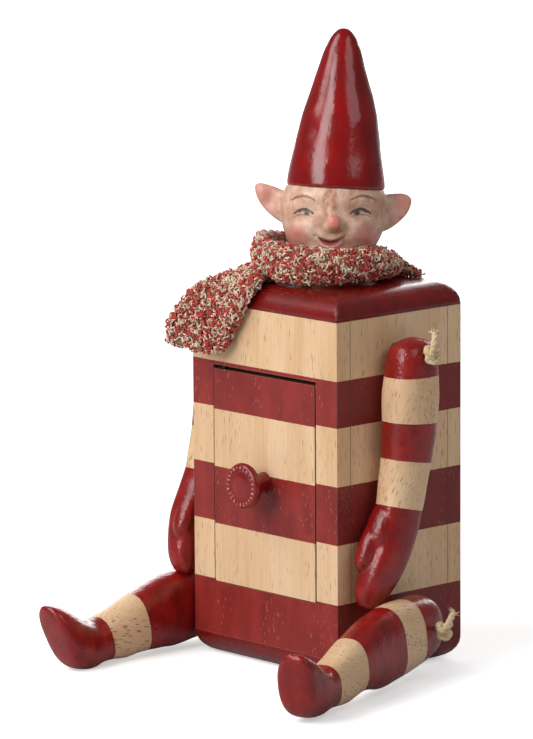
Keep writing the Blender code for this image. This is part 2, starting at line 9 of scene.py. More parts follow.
import bpy
import numpy as np
from mathutils import Matrix, Vector, noise


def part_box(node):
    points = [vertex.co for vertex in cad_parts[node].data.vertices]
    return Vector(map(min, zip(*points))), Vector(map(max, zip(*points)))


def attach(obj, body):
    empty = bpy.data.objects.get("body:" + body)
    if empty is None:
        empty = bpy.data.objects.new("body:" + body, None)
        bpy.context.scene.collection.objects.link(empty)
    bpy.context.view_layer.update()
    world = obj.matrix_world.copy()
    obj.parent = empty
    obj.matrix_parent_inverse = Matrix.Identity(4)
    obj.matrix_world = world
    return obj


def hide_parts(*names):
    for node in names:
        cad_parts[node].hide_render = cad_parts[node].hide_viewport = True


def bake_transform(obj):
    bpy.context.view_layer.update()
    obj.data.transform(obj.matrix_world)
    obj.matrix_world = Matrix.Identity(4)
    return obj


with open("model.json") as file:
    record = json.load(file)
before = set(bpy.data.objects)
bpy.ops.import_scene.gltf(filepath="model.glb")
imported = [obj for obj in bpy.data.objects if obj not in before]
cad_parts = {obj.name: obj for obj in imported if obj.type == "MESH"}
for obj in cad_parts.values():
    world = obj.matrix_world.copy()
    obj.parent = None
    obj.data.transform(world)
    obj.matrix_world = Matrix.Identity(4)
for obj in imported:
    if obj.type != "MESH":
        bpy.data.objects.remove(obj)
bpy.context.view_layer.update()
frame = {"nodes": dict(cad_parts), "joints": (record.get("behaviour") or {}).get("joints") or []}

MM = 0.001
rng = np.random.default_rng(11)


# ---- small tools
def joint_place(name):
    """A joint's pivot in millimetres."""
    joint = next(j for j in frame["joints"] if j["name"] == name)
    return Vector(joint["pos_m"]) / MM


def cad_box(name):
    """The low and the high corner of a CAD node, in millimetres."""
    return [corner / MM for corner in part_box(name)]


def turned(degrees, axis):
    return Matrix.Rotation(math.radians(degrees), 4, axis)


def level(degrees):
    """A level unit vector, by its direction seen from above."""
    angle = math.radians(degrees)
    return np.array((math.cos(angle), math.sin(angle), 0))


def srgb(red, green, blue):
    """An 8-bit display colour as linear RGBA."""
    linear = [c / 12.92 if c <= 0.04045 else ((c + 0.055) / 1.055) ** 2.4
              for c in (red / 255, green / 255, blue / 255)]
    return (*linear, 1)


def unit(vectors):
    return vectors / np.maximum(np.linalg.norm(vectors, axis=-1, keepdims=True), 1e-9)


def lengths_along(path):
    """How far along a path each of its points lies."""
    return np.concatenate([[0], np.cumsum(np.linalg.norm(np.diff(path, axis=0), axis=1))])


def spline(stations, steps, closed=False):
    """Catmull-Rom through rows of numbers, with steps points to each span."""
    rows = np.asarray(stations, float)
    count = len(rows)
    result = []
    for k in range(count if closed else count - 1):
        if closed:
            a, b, c, d = (rows[(k + i) % count] for i in (-1, 0, 1, 2))
        else:
            a, b, c, d = (rows[min(max(k + i, 0), count - 1)] for i in (-1, 0, 1, 2))
        for t in np.arange(steps) / steps:
            result.append(0.5 * (2 * b + (c - a) * t + (2 * a - 5 * b + 4 * c - d) * t * t
                                 + (3 * b - a - 3 * c + d) * t ** 3))
    if not closed:
        result.append(rows[-1])
    return np.array(result)


def section(centre, across, up, squareness, count):
    """A closed superellipse ring; squareness 2 is an ellipse and more is boxier."""
    angle = 2 * math.pi * (np.arange(count) + 0.5) / count
    c, s = np.cos(angle), np.sin(angle)
    c = np.sign(c) * np.abs(c) ** (2 / squareness)
    s = np.sign(s) * np.abs(s) ** (2 / squareness)
    return np.asarray(centre) + np.outer(c, across) + np.outer(s, up)


def ring_faces(rows, columns, closed=False):
    """Faces of rings of points joined in a row; open rows get a cap at each end."""
    i = np.arange(rows if closed else rows - 1)[:, None]
    j = np.arange(columns)[None, :]
    here, there = (i % rows) * columns, ((i + 1) % rows) * columns
    right = (j + 1) % columns
    quads = np.stack([here + j, here + right, there + right, there + j], -1).reshape(-1, 4)
    faces = [tuple(quad) for quad in quads.tolist()]
    if not closed:
        faces.append(tuple(range(columns))[::-1])
        faces.append(tuple((rows - 1) * columns + k for k in range(columns)))
    return faces


def joined(solids):
    """One solid out of several."""
    points, faces, offset = [], [], 0
    for solid_points, solid_faces in solids:
        points.append(np.asarray(solid_points).reshape(-1, 3))
        faces += [tuple(i + offset for i in face) for face in solid_faces]
        offset += len(points[-1])
    return np.vstack(points), faces


def loft(rings, closed=False):
    rings = np.asarray(rings)
    return rings.reshape(-1, 3), ring_faces(rings.shape[0], rings.shape[1], closed)


def frames_along(path):
    """Two unit vectors square to each point of a path, carried along it without twisting."""
    run = unit(np.gradient(path, axis=0))
    side = np.cross(run[0], (0.31, 0.27, 0.91))
    sides = []
    for direction in run:
        side = side - direction * (side @ direction)
        side = side / np.linalg.norm(side)
        sides.append(side)
    sides = np.array(sides)
    return sides, np.cross(run, sides)


def tube(path, radius, sides):
    """A round tube along a path; radius may change along it."""
    path = np.asarray(path, float)
    across, up = frames_along(path)
    radii = np.broadcast_to(radius, len(path))
    angle = 2 * math.pi * np.arange(sides) / sides
    rings = (path[:, None, :] + radii[:, None, None]
             * (np.cos(angle)[None, :, None] * across[:, None, :]
                + np.sin(angle)[None, :, None] * up[:, None, :]))
    return loft(rings)


def lathe(profile, count):
    """A turned solid about Z from (radius, height) points; both ends of the profile are on the axis."""
    angle = 2 * math.pi * np.arange(count) / count
    rings = [np.stack([r * np.cos(angle), r * np.sin(angle), np.full(count, z)], -1)
             for r, z in profile[1:-1]]
    return loft(rings)


def mesh_object(name, solid):
    points, faces = solid
    mesh = bpy.data.meshes.new(name)
    mesh.from_pydata((np.asarray(points) * MM).tolist(), [], faces)
    mesh.update()
    mesh.shade_smooth()
    thing = bpy.data.objects.new(name, mesh)
    bpy.context.scene.collection.objects.link(thing)
    return thing


def fused(name, solids, voxel, smoothing, hole=None):
    """One carved skin over overlapping closed solids: voxel remesh, smooth, cut the hole's solid out."""
    thing = mesh_object(name, joined(solids))
    remesh = thing.modifiers.new("carve", "REMESH")
    remesh.mode = "VOXEL"
    remesh.voxel_size = voxel * MM
    soften = thing.modifiers.new("soften", "SMOOTH")
    soften.factor = 0.5
    soften.iterations = smoothing
    if hole:
        cutter = mesh_object(f"{name}_cutter", hole)
        cut = thing.modifiers.new("hole", "BOOLEAN")
        cut.solver = "EXACT"
        cut.object = cutter
    graph = bpy.context.evaluated_depsgraph_get()
    mesh = bpy.data.meshes.new_from_object(thing.evaluated_get(graph))
    thing.modifiers.clear()
    thing.data = mesh
    mesh.shade_smooth()
    if hole:
        bpy.data.objects.remove(cutter, do_unlink=True)
    return thing


def per_point(thing, name):
    """A vector for each point of a mesh: its place or its normal."""
    vectors = np.empty(len(thing.data.vertices) * 3, np.float32)
    thing.data.vertices.foreach_get(name, vectors)
    return vectors.reshape(-1, 3).astype(float)


def get_points(thing):
    return per_point(thing, "co") / MM


def set_points(thing, points):
    thing.data.vertices.foreach_set("co", (points * MM).astype(np.float32).ravel())
    thing.data.update()


def lumps(points, size):
    """Smooth noise between -1 and 1 at each point, with lumps of about that size."""
    return np.array([noise.noise(Vector(point) / size) for point in points])


def pushed(thing, points, distances):
    """The points of a thing, moved by their distances along its normals."""
    return points + per_point(thing, "normal") * distances[:, None]


def placed(points, matrix):
    return points @ np.array(matrix.to_3x3()).T + np.array(matrix.to_translation())


def store(thing, name, values):
    """Keep a number or a vector per point, for the piece's material to read."""
    values = np.asarray(values, np.float32)
    kind = "FLOAT" if values.ndim == 1 else "FLOAT_VECTOR"
    attribute = thing.data.attributes.new(name, kind, "POINT")
    attribute.data.foreach_set("value" if values.ndim == 1 else "vector", values.ravel())


def dress(thing, material):
    thing.data.materials.clear()
    thing.data.materials.append(material)


def finish_piece(thing, body, material, replaced):
    """Give a new piece its material, put it on its body and hide the CAD node it stands for."""
    dress(thing, material)
    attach(thing, body)
    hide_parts(replaced)


# ---- shaders
UPRIGHT = (0, 0, 0)


class Value:
    """An output in a material's graph; arithmetic with it adds the math nodes."""

    def __init__(self, shader, socket):
        self.shader, self.socket = shader, socket

    def __add__(self, other):
        return self.shader.math("ADD", self, other)

    def __sub__(self, other):
        return self.shader.math("SUBTRACT", self, other)

    def __mul__(self, other):
        return self.shader.math("MULTIPLY", self, other)

    def __truediv__(self, other):
        return self.shader.math("DIVIDE", self, other)

    def __abs__(self):
        return self.shader.math("ABSOLUTE", self)


class Shader:
    """A material's node graph, written as calls that return values. Coordinates are in millimetres."""

    def __init__(self, name):
        self.material = bpy.data.materials.new(name)
        self.material.use_nodes = True
        self.tree = self.material.node_tree
        place = self.node("TexCoord", output="Object")
        self.place = self.node("VectorMath", {0: place, "Scale": 1 / MM}, operation="SCALE")
        self.x, self.y, self.z = self.split(self.place)

    def put(self, socket, value):
        if isinstance(value, Value):
            self.tree.links.new(value.socket, socket)
        elif value is not None:
            socket.default_value = value

    def node(self, kind, inputs=None, output=0, **settings):
        """An output of a new node, which gets its settings and its inputs by name or number."""
        node = self.tree.nodes.new(f"ShaderNode{kind}")
        for name, setting in settings.items():
            setattr(node, name, setting)
        for socket, value in (inputs or {}).items():
            self.put(node.inputs[socket], value)
        return Value(self, node.outputs[output])

    def split(self, value, kind="XYZ"):
        """The three parts of a vector, or of a colour when kind is Color."""
        first = self.node(f"Separate{kind}", {0: value})
        return [Value(self, socket) for socket in first.socket.node.outputs]

    def math(self, operation, *values):
        return self.node("Math", dict(enumerate(values)), operation=operation)

    def step(self, value, low, high):
        """0 below low, 1 above high and smooth between; low may be the larger of the two."""
        ends = (low, high, 0, 1) if low < high else (high, low, 1, 0)
        inputs = dict(zip(("From Min", "From Max", "To Min", "To Max"), ends), Value=value)
        return self.node("MapRange", inputs, "Result", interpolation_type="SMOOTHSTEP")

    def stretched(self, sizes, turn):
        """Coordinates for a texture with features of these sizes, one or three, turned by degrees."""
        sizes = sizes if isinstance(sizes, tuple) else (sizes,) * 3
        inputs = {0: self.place, "Rotation": [math.radians(angle) for angle in turn], "Scale": sizes}
        return self.node("Mapping", inputs, vector_type="TEXTURE")

    def noise(self, sizes, detail=2, turn=UPRIGHT):
        inputs = {"Vector": self.stretched(sizes, turn), "Scale": 1, "Detail": detail}
        return self.node("TexNoise", inputs, "Fac")

    def specks(self, sizes, share, width, turn=UPRIGHT):
        """1 inside scattered specks as long as sizes; share of the cells hold one."""
        cells = self.node("TexVoronoi", {"Vector": self.stretched(sizes, turn), "Scale": 1}, "Distance")
        luck = self.split(Value(self, cells.socket.node.outputs["Color"]), "Color")[0]
        return self.step(cells, width, width * 0.45) * self.math("LESS_THAN", luck, share)

    def ramp(self, value, *stops, steps=False):
        """A colour that follows value; each stop is a position and a colour or a grey level."""
        result = self.node("ValToRGB", {0: value}, "Color")
        bar = result.socket.node.color_ramp
        bar.interpolation = "CONSTANT" if steps else "LINEAR"
        while len(bar.elements) < len(stops):
            bar.elements.new(1)
        for element, (position, colour) in zip(bar.elements, stops):
            element.position = position
            element.color = colour if isinstance(colour, tuple) else (colour, colour, colour, 1)
        return result

    def mix(self, share, a, b):
        """a where share is 0 and b where it is 1."""
        return self.node("Mix", {0: share, 6: a, 7: b}, 2, data_type="RGBA")

    def coat(self, colour, share, strength, over):
        """The colour with another one over it where share is 1, as strong as strength."""
        return self.mix(share * strength, colour, over)

    def attribute(self, name, output="Fac"):
        return self.node("Attribute", None, output, attribute_name=name)

    def rounded(self, radius, samples=6):
        """Surface direction with edges closer than radius eased together."""
        return self.node("Bevel", {"Radius": radius * MM}, samples=samples)

    def worn_edge(self, radius):
        """1 on sharp outer edges, 0 on faces."""
        directions = {0: self.rounded(radius, 4), 1: self.node("NewGeometry", output="Normal")}
        alike = self.node("VectorMath", directions, "Value", operation="DOT_PRODUCT")
        return self.step(alike, 0.985, 0.90)

    def bump(self, height, depth, over=None):
        """A bump whose height of 1 stands depth millimetres high, over another surface direction."""
        return self.node("Bump", {"Distance": depth * MM, "Height": height, "Normal": over})

    def bands(self, along, length, starts):
        """1 on painted bands and 0 on bare ones; starts lie along length and begin with a painted band."""
        stops = [(start / length, 1 - i % 2) for i, start in enumerate(starts)]
        return self.ramp(along / length, *stops, steps=True)

    def done(self, colour, roughness, normal, **more):
        """The finished material; more gives other inputs of its surface."""
        surface = self.tree.nodes["Principled BSDF"].inputs
        self.put(surface["Base Color"], colour)
        self.put(surface["Roughness"], roughness)
        self.put(surface["Normal"], normal)
        for name, value in more.items():
            self.put(surface[name.replace("_", " ")], value)
        return self.material


BEECH_LIGHT, BEECH_DARK, BEECH_FLECK = srgb(222, 188, 150), srgb(206, 166, 124), srgb(142, 100, 66)
PAINT_RED, PAINT_DARK, PAINT_PORE = srgb(140, 39, 33), srgb(121, 30, 26), srgb(196, 132, 118)
LIMB_RED, LIMB_RED_DARK = srgb(145, 22, 18), srgb(118, 14, 12)
HAT_RED, HAT_RED_DARK = srgb(140, 8, 7), srgb(108, 5, 5)


def beech(shader, turn=UPRIGHT, fleck=(0.9, 0.9, 7), share=0.5, strength=0.55):
    """(colour, height) of bare beech: broad figure, fine streaks and brown flecks along the grain."""
    figure = shader.noise((14, 14, 110), 2, turn)
    streak = shader.noise((0.7, 0.7, 30), 3, turn)
    colour = shader.ramp(figure * 0.6 + streak * 0.4, (0.36, BEECH_DARK), (0.62, BEECH_LIGHT))
    flecks = shader.specks(fleck, share, 0.34, turn)
    patchy = shader.step(shader.noise((9, 9, 40), 2, turn), 0.35, 0.65)
    colour = shader.coat(colour, flecks * (patchy + 0.3), strength, BEECH_FLECK)
    return colour, streak * 0.4 - flecks


def red_paint(shader, light, dark, pores, turn=UPRIGHT):
    """(colour, height) of brushed red paint over grain, with a few pale pores."""
    cloud = shader.noise((9, 9, 22), 3, turn)
    colour = shader.ramp(cloud, (0.35, dark), (0.65, light))
    specks = shader.specks((0.7, 0.7, 4.4), pores, 0.26, turn)
    patchy = shader.step(shader.noise((12, 12, 30), 2, turn), 0.45, 0.62)
    colour = shader.coat(colour, specks * patchy, 0.75, PAINT_PORE)
    streak = shader.noise((0.7, 0.7, 18), 2, turn)
    return colour, streak - specks * 0.5


# bands of the box, from the floor up: the height at which each one starts; the first one is painted
BAND_STARTS = (0, 34.8, 61.1, 86.7, 112.8, 133.2, 159)
DOOR_DROP = 1.15    # the door's bands sit this much lower than the frame's
BOX_HIGH = cad_box("lid_board")[1]
BACK_LOW, BACK_HIGH = cad_box("back_board")
BOARD = BACK_HIGH.y - BACK_LOW.y


def banded_board(name, drop=0):
    """Beech painted red in bands, on the box's outer faces only; the bare inner faces are darkened as
    painted shade, and the paint on the two side boards is darkened as painted shade.
    """
    shader = Shader(name)
    ragged = (shader.noise((1.2, 1.2, 3)) - 0.5) * 0.35
    paint_depth = 0.6
    outside_x = shader.math("GREATER_THAN", abs(shader.x), BOX_HIGH.x - paint_depth)
    outside_y = shader.math("GREATER_THAN", abs(shader.y), BOX_HIGH.y - paint_depth)
    outside = shader.math("MAXIMUM", outside_x, outside_y)
    painted = shader.bands(shader.z + drop + ragged, BOX_HIGH.z, BAND_STARTS) * outside
    worn = shader.worn_edge(0.5) * shader.noise((2, 2, 5), 3)
    wood, wood_height = beech(shader)
    # painted shade: the inner faces are coloured dark brown to stand in for the shade inside the box and
    # the door's gap
    wood = shader.mix(outside, srgb(92, 62, 42), wood)
    wood = shader.coat(wood, worn, 0.35, BEECH_FLECK)
    paint, paint_height = red_paint(shader, PAINT_RED, PAINT_DARK, 0.5)
    paint = shader.coat(paint, worn, 0.7, PAINT_PORE)
    # painted shade: the paint on both side boards is darkened to stand in for the shade on the box's sides
    paint = shader.coat(paint, outside_x, 0.4, srgb(92, 28, 27))
    from_seam = abs(abs(shader.y) - (BOX_HIGH.y - BOARD))
    seam = shader.step(from_seam, 0.3, 0.1) * outside_x
    colour = shader.coat(shader.mix(painted, wood, paint), seam, 0.6, srgb(60, 34, 26))
    relief = shader.mix(painted, shader.bump(wood_height, 0.04), shader.bump(paint_height, 0.03))
    roughness = shader.ramp(painted, (0, 0.6), (1, 0.45))
    return shader.done(colour, roughness, relief, Specular_IOR_Level=0.4)


def painted_board(name):
    """Satin red paint, with a trace of the grain running along X."""
    shader = Shader(name)
    colour, height = red_paint(shader, srgb(118, 12, 9), srgb(100, 8, 6), 0.2, (0, 90, 0))
    colour = shader.coat(colour, shader.worn_edge(0.5) * shader.noise(3, 3), 0.4, PAINT_PORE)
    relief = shader.bump(height * 0.5 + shader.noise(1.6), 0.03, shader.rounded(2.5))
    roughness = shader.ramp(shader.noise(14), (0.3, 0.24), (0.7, 0.31))
    return shader.done(colour, roughness, relief)


def bare_wood(name):
    shader = Shader(name)
    colour, height = beech(shader)
    colour = shader.coat(colour, shader.worn_edge(0.6), 0.5, BEECH_FLECK)
    return shader.done(colour, 0.6, shader.bump(height, 0.05))


def gap_shade_wood(name):
    """Near-black wood as painted shade, for the strip behind the door's gap."""
    shader = Shader(name)
    grain = shader.noise((0.8, 0.8, 18), 3)
    # painted shade: dark browns so the strip reads as the shade in the door's gap
    colour = shader.ramp(grain, (0.3, srgb(38, 22, 16)), (0.7, srgb(64, 40, 28)))
    return shader.done(colour, 0.75, shader.bump(grain, 0.05))


def metal(name, colour, roughness, marks_size):
    """Drawn or turned metal with fine marks of that size."""
    shader = Shader(name)
    marks = shader.noise(marks_size, 3)
    tarnish = tuple(part * 0.72 for part in colour[:3]) + (1,)
    shade = shader.mix(shader.step(shader.noise(3), 0.45, 0.8), colour, tarnish)
    return shader.done(shade, marks * 0.2 + (roughness - 0.1), shader.bump(marks, 0.01), Metallic=1)


# ---- box, door and works: CAD nodes
def soften_edges(node, width):
    bevel = node.modifiers.new("soft_edges", "BEVEL")
    bevel.width = width * MM
    bevel.segments = 2
    bevel.limit_method = "ANGLE"
    bevel.angle_limit = math.radians(50)
    bevel.harden_normals = True


def dress_cad_nodes():
    walls = "front_board back_board left_side_board right_side_board"
    looks = (
        (banded_board("beech_banded"), walls),
        (banded_board("beech_banded_door", DOOR_DROP), "door_panel"),
        (painted_board("red_satin"), "lid_board"),
        (painted_board("red_satin_base"), "base_board"),
        (gap_shade_wood("wood_gap_shade"), "door_stop"),
        (bare_wood("beech_turned"), "neck_post stop_collar spring_seat"),
        (metal("brass_turned", srgb(205, 172, 104), 0.3, (4, 4, 0.15)), "lid_bush spring_washer"),
        # painted shade: the hinge pins are made dark so they read as the shade in the door's gap
        (metal("steel_dark_gap_shade", srgb(62, 56, 52), 0.45, (0.3, 0.3, 3)),
         "upper_hinge_pin lower_hinge_pin"),
        (metal("steel_nickel", srgb(180, 182, 184), 0.22, 0.2), "door_magnet frame_magnet catch_magnet"),
        (metal("steel_bright", srgb(196, 198, 200), 0.3, (0.25, 0.25, 6)),
         "knob_screw collar_pin catch_screw"),
    )
    for material, names in looks:
        for name in names.split():
            dress(frame["nodes"][name], material)
    softened = ((0.2, f"{walls} door_panel"), (0.3, "door_stop spring_seat stop_collar neck_post"))
    for width, names in softened:
        for name in names.split():
            soften_edges(frame["nodes"][name], width)


# ---- door knob
BEADS = 24


def knob_material():
    shader = Shader("red_knob")
    colour, _ = red_paint(shader, srgb(138, 20, 17), srgb(112, 12, 11), 0.15)
    rubbed = shader.step(shader.noise(1.3, 3), 0.36, 0.6)
    colour = shader.coat(colour, shader.attribute("bead") * rubbed, 0.75, srgb(214, 150, 140))
    return shader.done(colour, 0.26, shader.bump(shader.noise(0.9), 0.025))


def make_knob():
    """A turned, dished knob; a ring of small raised beads runs round its dish."""
    low, high = cad_box("door_knob")
    radius, door_face, tip = (high.x - low.x) / 2, high.y, low.y
    length = door_face - tip
    # from the middle of the dish to the foot on the door: radius, height over the knob's length
    dish = [(0, -0.2), (2, -0.22), (4, -0.3), (5.6, -0.55), (6.2, -0.75), (6.8, -0.7), (7.4, -0.45),
            (8.6, -0.2), (9.3, -0.45), (9.9, -1.1), (radius, -2.1), (10.1, -3.1), (9.5, -3.9), (8.2, -4.6),
            (6.4, -5.5), (5.2, -6.8), (4.6, -8.6), (4.4, -10.6), (4.4, -12.4), (4.5, -13.7),
            (4.7, -length + 0.05)]
    profile = [(0, 0)] + [(r, length + d) for r, d in spline(dish, 4)] + [(0, 0)]
    solids = [lathe(profile, 96)]
    turned_count = len(solids[0][0])
    bead_height = length - 0.3
    for i in range(BEADS):
        outward = level(360 * i / BEADS)
        path = [outward * r + (0, 0, bead_height) for r in (7.1, 7.6, 8.5, 9)]
        solids.append(tube(path, np.array([0.14, 0.47, 0.47, 0.14]), 8))
    points, faces = joined(solids)
    centre_z = (low.z + high.z) / 2
    points = np.stack([points[:, 0], door_face - points[:, 2], centre_z + points[:, 1]], -1)
    knob = mesh_object("knob", (points, faces))
    store(knob, "bead", np.arange(len(points)) >= turned_count)
    finish_piece(knob, "door", knob_material(), "door_knob")


# ---- spring
def make_spring():
    """The coil of the CAD spring, round and fine, over the CAD spring's height at rest."""
    low, high = cad_box("spring")
    wire, turns, per_turn = 0.8, 9, 40
    radius = high.x - wire
    closed_pitch = 2 * wire + 0.3
    bottom, top = low.z + wire, high.z - wire
    open_pitch = (top - bottom - 2 * closed_pitch) / (turns - 2)
    turn = np.arange(turns * per_turn + 1) / per_turn
    angle = 2 * math.pi * turn
    z = (bottom + closed_pitch * np.minimum(turn, 1) + open_pitch * np.clip(turn - 1, 0, turns - 2)
         + closed_pitch * np.maximum(turn - (turns - 1), 0))
    path = np.stack([radius * np.cos(angle), radius * np.sin(angle), z], -1)
    coil = mesh_object("spring_coil", tube(path, wire, 10))
    dress(coil, metal("steel_spring", srgb(186, 188, 190), 0.25, 0.3))
    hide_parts("spring")
    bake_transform(coil)


# ---- limbs
SIDES = (("left", -1), ("right", 1))
CORD_HOLE = tube([(-25, 0, 0), (25, 0, 0)], 1.7, 24)
LIMB_VOXEL = 0.6
ARM_SWING = {"left": 3, "right": 0}       # forward from hanging, in degrees
LEG_SPLAY = {"left": -1, "right": 16.5}     # outward from straight ahead, in degrees
LEG_LIFT = {"left": 0, "right": 0.9}        # the toes up, in degrees
LEG_STRETCH = {"left": 1.025, "right": 1}

# down from the shoulder, forward, half width fore and aft, half thickness
ARM = ((-4.9, 1.2, 2.2, 2.2), (-4.4, 1.1, 5, 4.4), (-2.6, 0.8, 8.4, 7.4), (0.8, 0.2, 10.4, 9.2),
       (6, -0.2, 11.5, 9.8), (12, -0.3, 12.2, 10), (19.5, 0.2, 13.1, 10), (32, 0.9, 12.5, 9.8),
       (48.5, 3.2, 11.5, 9.2), (68, 7.2, 10.6, 8.5), (78.5, 10.2, 10.2, 8.3), (88.5, 14.2, 9.8, 8.2),
       (96.5, 18, 9.2, 7.8), (103, 21, 8, 6.8), (107.6, 22.9, 6.2, 5.4), (110.4, 24, 3.6, 3.4),
       (111.2, 24.3, 1.2, 1.2))
ARM_BANDS = (0, 15.9, 35.9, 52.9, 73.3)     # along the arm from its top: paint, wood, paint, wood, paint
WRIST, WRIST_REACH = 84, 13
WRIST_BULGE = {"left": 3, "right": 0}     # how much fuller the left wrist is in front
HAND_TURN_IN, HAND_LENGTH = 3.4, 26         # the fingertips lean this far towards the box
# the thumb and the web at its root: down, forward, half width; the thumb's tip stands free
THUMB = ((66, 9, 3), (72, 13.4, 4.4), (78, 18, 5), (84, 22, 5), (89, 24.6, 4.4), (92.4, 26, 3.2),
         (94.2, 26.6, 1.3))
WEB = ((62, 6.6, 4), (68, 9.8, 6.8), (74, 13.2, 7.8), (79.5, 16.6, 7.4), (84, 19.2, 5.4), (86.8, 20.4, 2))
THUMB_INSET, WEB_INSET = 3.2, 1.4             # how far inside the arm's middle each one runs

# along from the hip, centre height, half height, half thickness, lean to the toe, turn-out
LEG = ((-10.3, -2, 2.2, 2, 0, 0), (-9.6, -1.9, 6.2, 5, 0, 0), (-7.6, -1.6, 9.9, 7.4, 0, 0),
       (-4.5, -1.2, 12.3, 8.9, 0, 0), (2, -1, 14.4, 10, 0, 0), (16, -2.1, 15.9, 10.3, 0, 0),
       (27.5, -2.9, 16.7, 10.2, 0, 0), (41, -4.3, 16.4, 9.8, 0, 0), (49, -4.7, 14.8, 9.5, 1, 0),
       (57, -5.8, 13.3, 9.2, 2, 1), (64, -7.7, 12.6, 8.9, 3, 1), (71, -9.8, 12, 8.6, 5, 2),
       (80, -11.4, 10.3, 8.4, 9, 4), (87, -12.4, 9.7, 8.6, 13, 6), (93, -11.3, 12.2, 9.2, 17, 7),
       (99.5, -8.6, 15.3, 9.4, 20, 7), (104.5, -7.3, 15.7, 9.3, 20, 7), (106.6, -7.1, 14.9, 8.8, 20, 7),
       (107.8, -7, 12.8, 7.4, 20, 7), (108.3, -7, 7.4, 4.2, 20, 7))
LEG_TOP, LEG_LENGTH = 10.3, 118             # how far the leg reaches past its hip, and its whole length
CALF_PLACE, CALF_REACH = 54, 12
CALF = {"left": 1, "right": 0}            # how much fuller the left calf is underneath
# along the leg from its rounded top, and how much further along each band's edge is at the top of the leg
LEG_BANDS = {"left": (0, 21.9, 39, 73.4, 95.2), "right": (0, 21.6, 38.8, 71, 93.6)}
BAND_LEAN = 0.2


def limb_material(name, starts, length, grain_turn):
    """Carved beech with painted bands round it; bands are told by the stored length along the limb."""
    shader = Shader(name)
    ragged = (shader.noise(1) - 0.5) * 0.5
    painted = shader.bands(shader.attribute("along") + ragged, length, starts)
    wood, wood_height = beech(shader, grain_turn, (1, 1, 6), 0.95, 0.8)
    paint = shader.ramp(shader.noise((7, 7, 12), 3), (0.35, LIMB_RED_DARK), (0.65, LIMB_RED))
    peel = shader.noise(1.3) + shader.noise((3.6, 3.6, 5)) * 1.2
    relief = shader.mix(painted, shader.bump(wood_height, 0.08), shader.bump(peel, 0.22))
    roughness = shader.ramp(painted, (0, 0.5), (1, 0.25))
    return shader.done(shader.mix(painted, wood, paint), roughness, relief)


def limb_rings(path, sides, squareness):
    """Rings square to a path of (down, forward, half fore and aft, half side to side)."""
    centres = np.stack([np.zeros(len(path)), -path[:, 1], -path[:, 0]], -1)
    across = np.cross(unit(np.gradient(centres, axis=0)), (1, 0, 0))
    return [section(c, a * fore, (side, 0, 0), squareness, sides)
            for c, a, fore, side in zip(centres, across, path[:, 2], path[:, 3])]


def length_at(points, path):
    """How far along a path of (down, forward) its nearest place lies, for points in limb space."""
    lengths = lengths_along(path)
    flat = np.stack([-points[:, 2], -points[:, 1]], -1)
    best = np.full(len(points), 1e9)
    along = np.zeros(len(points))
    last = len(path) - 2
    for k in range(last + 1):
        step = path[k + 1] - path[k]
        share = (flat - path[k]) @ step / (step @ step)
        share = np.clip(share, -1e3 if k == 0 else 0, 1e3 if k == last else 1)
        distance = np.linalg.norm(flat - path[k] - share[:, None] * step, axis=1)
        closer = distance < best
        best[closer] = distance[closer]
        along[closer] = lengths[k] + share[closer] * np.linalg.norm(step)
    return along


def swelling(along, place, reach):
    """1 at a place along a limb, fading to 0 over about its reach."""
    return np.exp(-((along - place) / reach) ** 2)


def make_arms():
    thumb, web = (spline([(down, forward, half, half) for down, forward, half in rows], 4)
                  for rows in (THUMB, WEB))
    for side, sign in SIDES:
        path = spline(ARM, 5)
        path[:, 1] += WRIST_BULGE[side] * swelling(path[:, 0], WRIST, WRIST_REACH)
        solids = [loft(limb_rings(path, 40, 2.5))]
        for part, inset in ((thumb, THUMB_INSET), (web, WEB_INSET)):
            solids.append(loft([ring + (-sign * inset, 0, 0) for ring in limb_rings(part, 24, 2.1)]))
        arm = fused(f"{side}_arm_carved", solids, LIMB_VOXEL, 12, CORD_HOLE)
        points = get_points(arm)
        store(arm, "along", length_at(points, path[:, :2]))
        turned_in = np.clip((-points[:, 2] - WRIST) / HAND_LENGTH, 0, 1.1) ** 1.5
        points[:, 0] -= sign * HAND_TURN_IN * turned_in
        points = pushed(arm, points, lumps(points, 9) * 0.18)
        matrix = Matrix.Translation(joint_place(f"{side}_shoulder")) @ turned(-ARM_SWING[side], "X")
        set_points(arm, placed(points, matrix))
        length = float(lengths_along(path[:, :2])[-1])
        material = limb_material(f"{side}_arm_paint", ARM_BANDS, length, (0, 28, 47))
        finish_piece(arm, f"{side}_arm", material, f"{side}_arm")


def make_legs():
    for side, sign in SIDES:
        path = spline(LEG, 5)
        underneath = CALF[side] * swelling(path[:, 0], CALF_PLACE, CALF_REACH)
        path[:, 1] -= underneath
        path[:, 2] += underneath
        path[:, 0] *= LEG_STRETCH[side]
        rings = []
        for along, height, half_height, half_side, lean, turn_out in path:
            upright = np.array((sign * math.sin(math.radians(turn_out)), -math.sin(math.radians(lean)),
                                math.cos(math.radians(lean))))
            rings.append(section((0, -along, height), (half_side, 0, 0), upright * half_height, 2.5, 44))
        leg = fused(f"{side}_leg_carved", [loft(rings)], LIMB_VOXEL, 5, CORD_HOLE)
        points = get_points(leg)
        store(leg, "along", LEG_TOP - points[:, 1] - BAND_LEAN * (points[:, 2] + 4))
        points = pushed(leg, points, lumps(points, 11) * 0.22)
        matrix = (Matrix.Translation(joint_place(f"{side}_hip"))
                  @ turned(sign * LEG_SPLAY[side], "Z") @ turned(-LEG_LIFT[side], "X"))
        set_points(leg, placed(points, matrix))
        material = limb_material(f"{side}_leg_paint", LEG_BANDS[side], LEG_LENGTH, (80, 0, 0))
        finish_piece(leg, f"{side}_leg", material, f"{side}_leg")


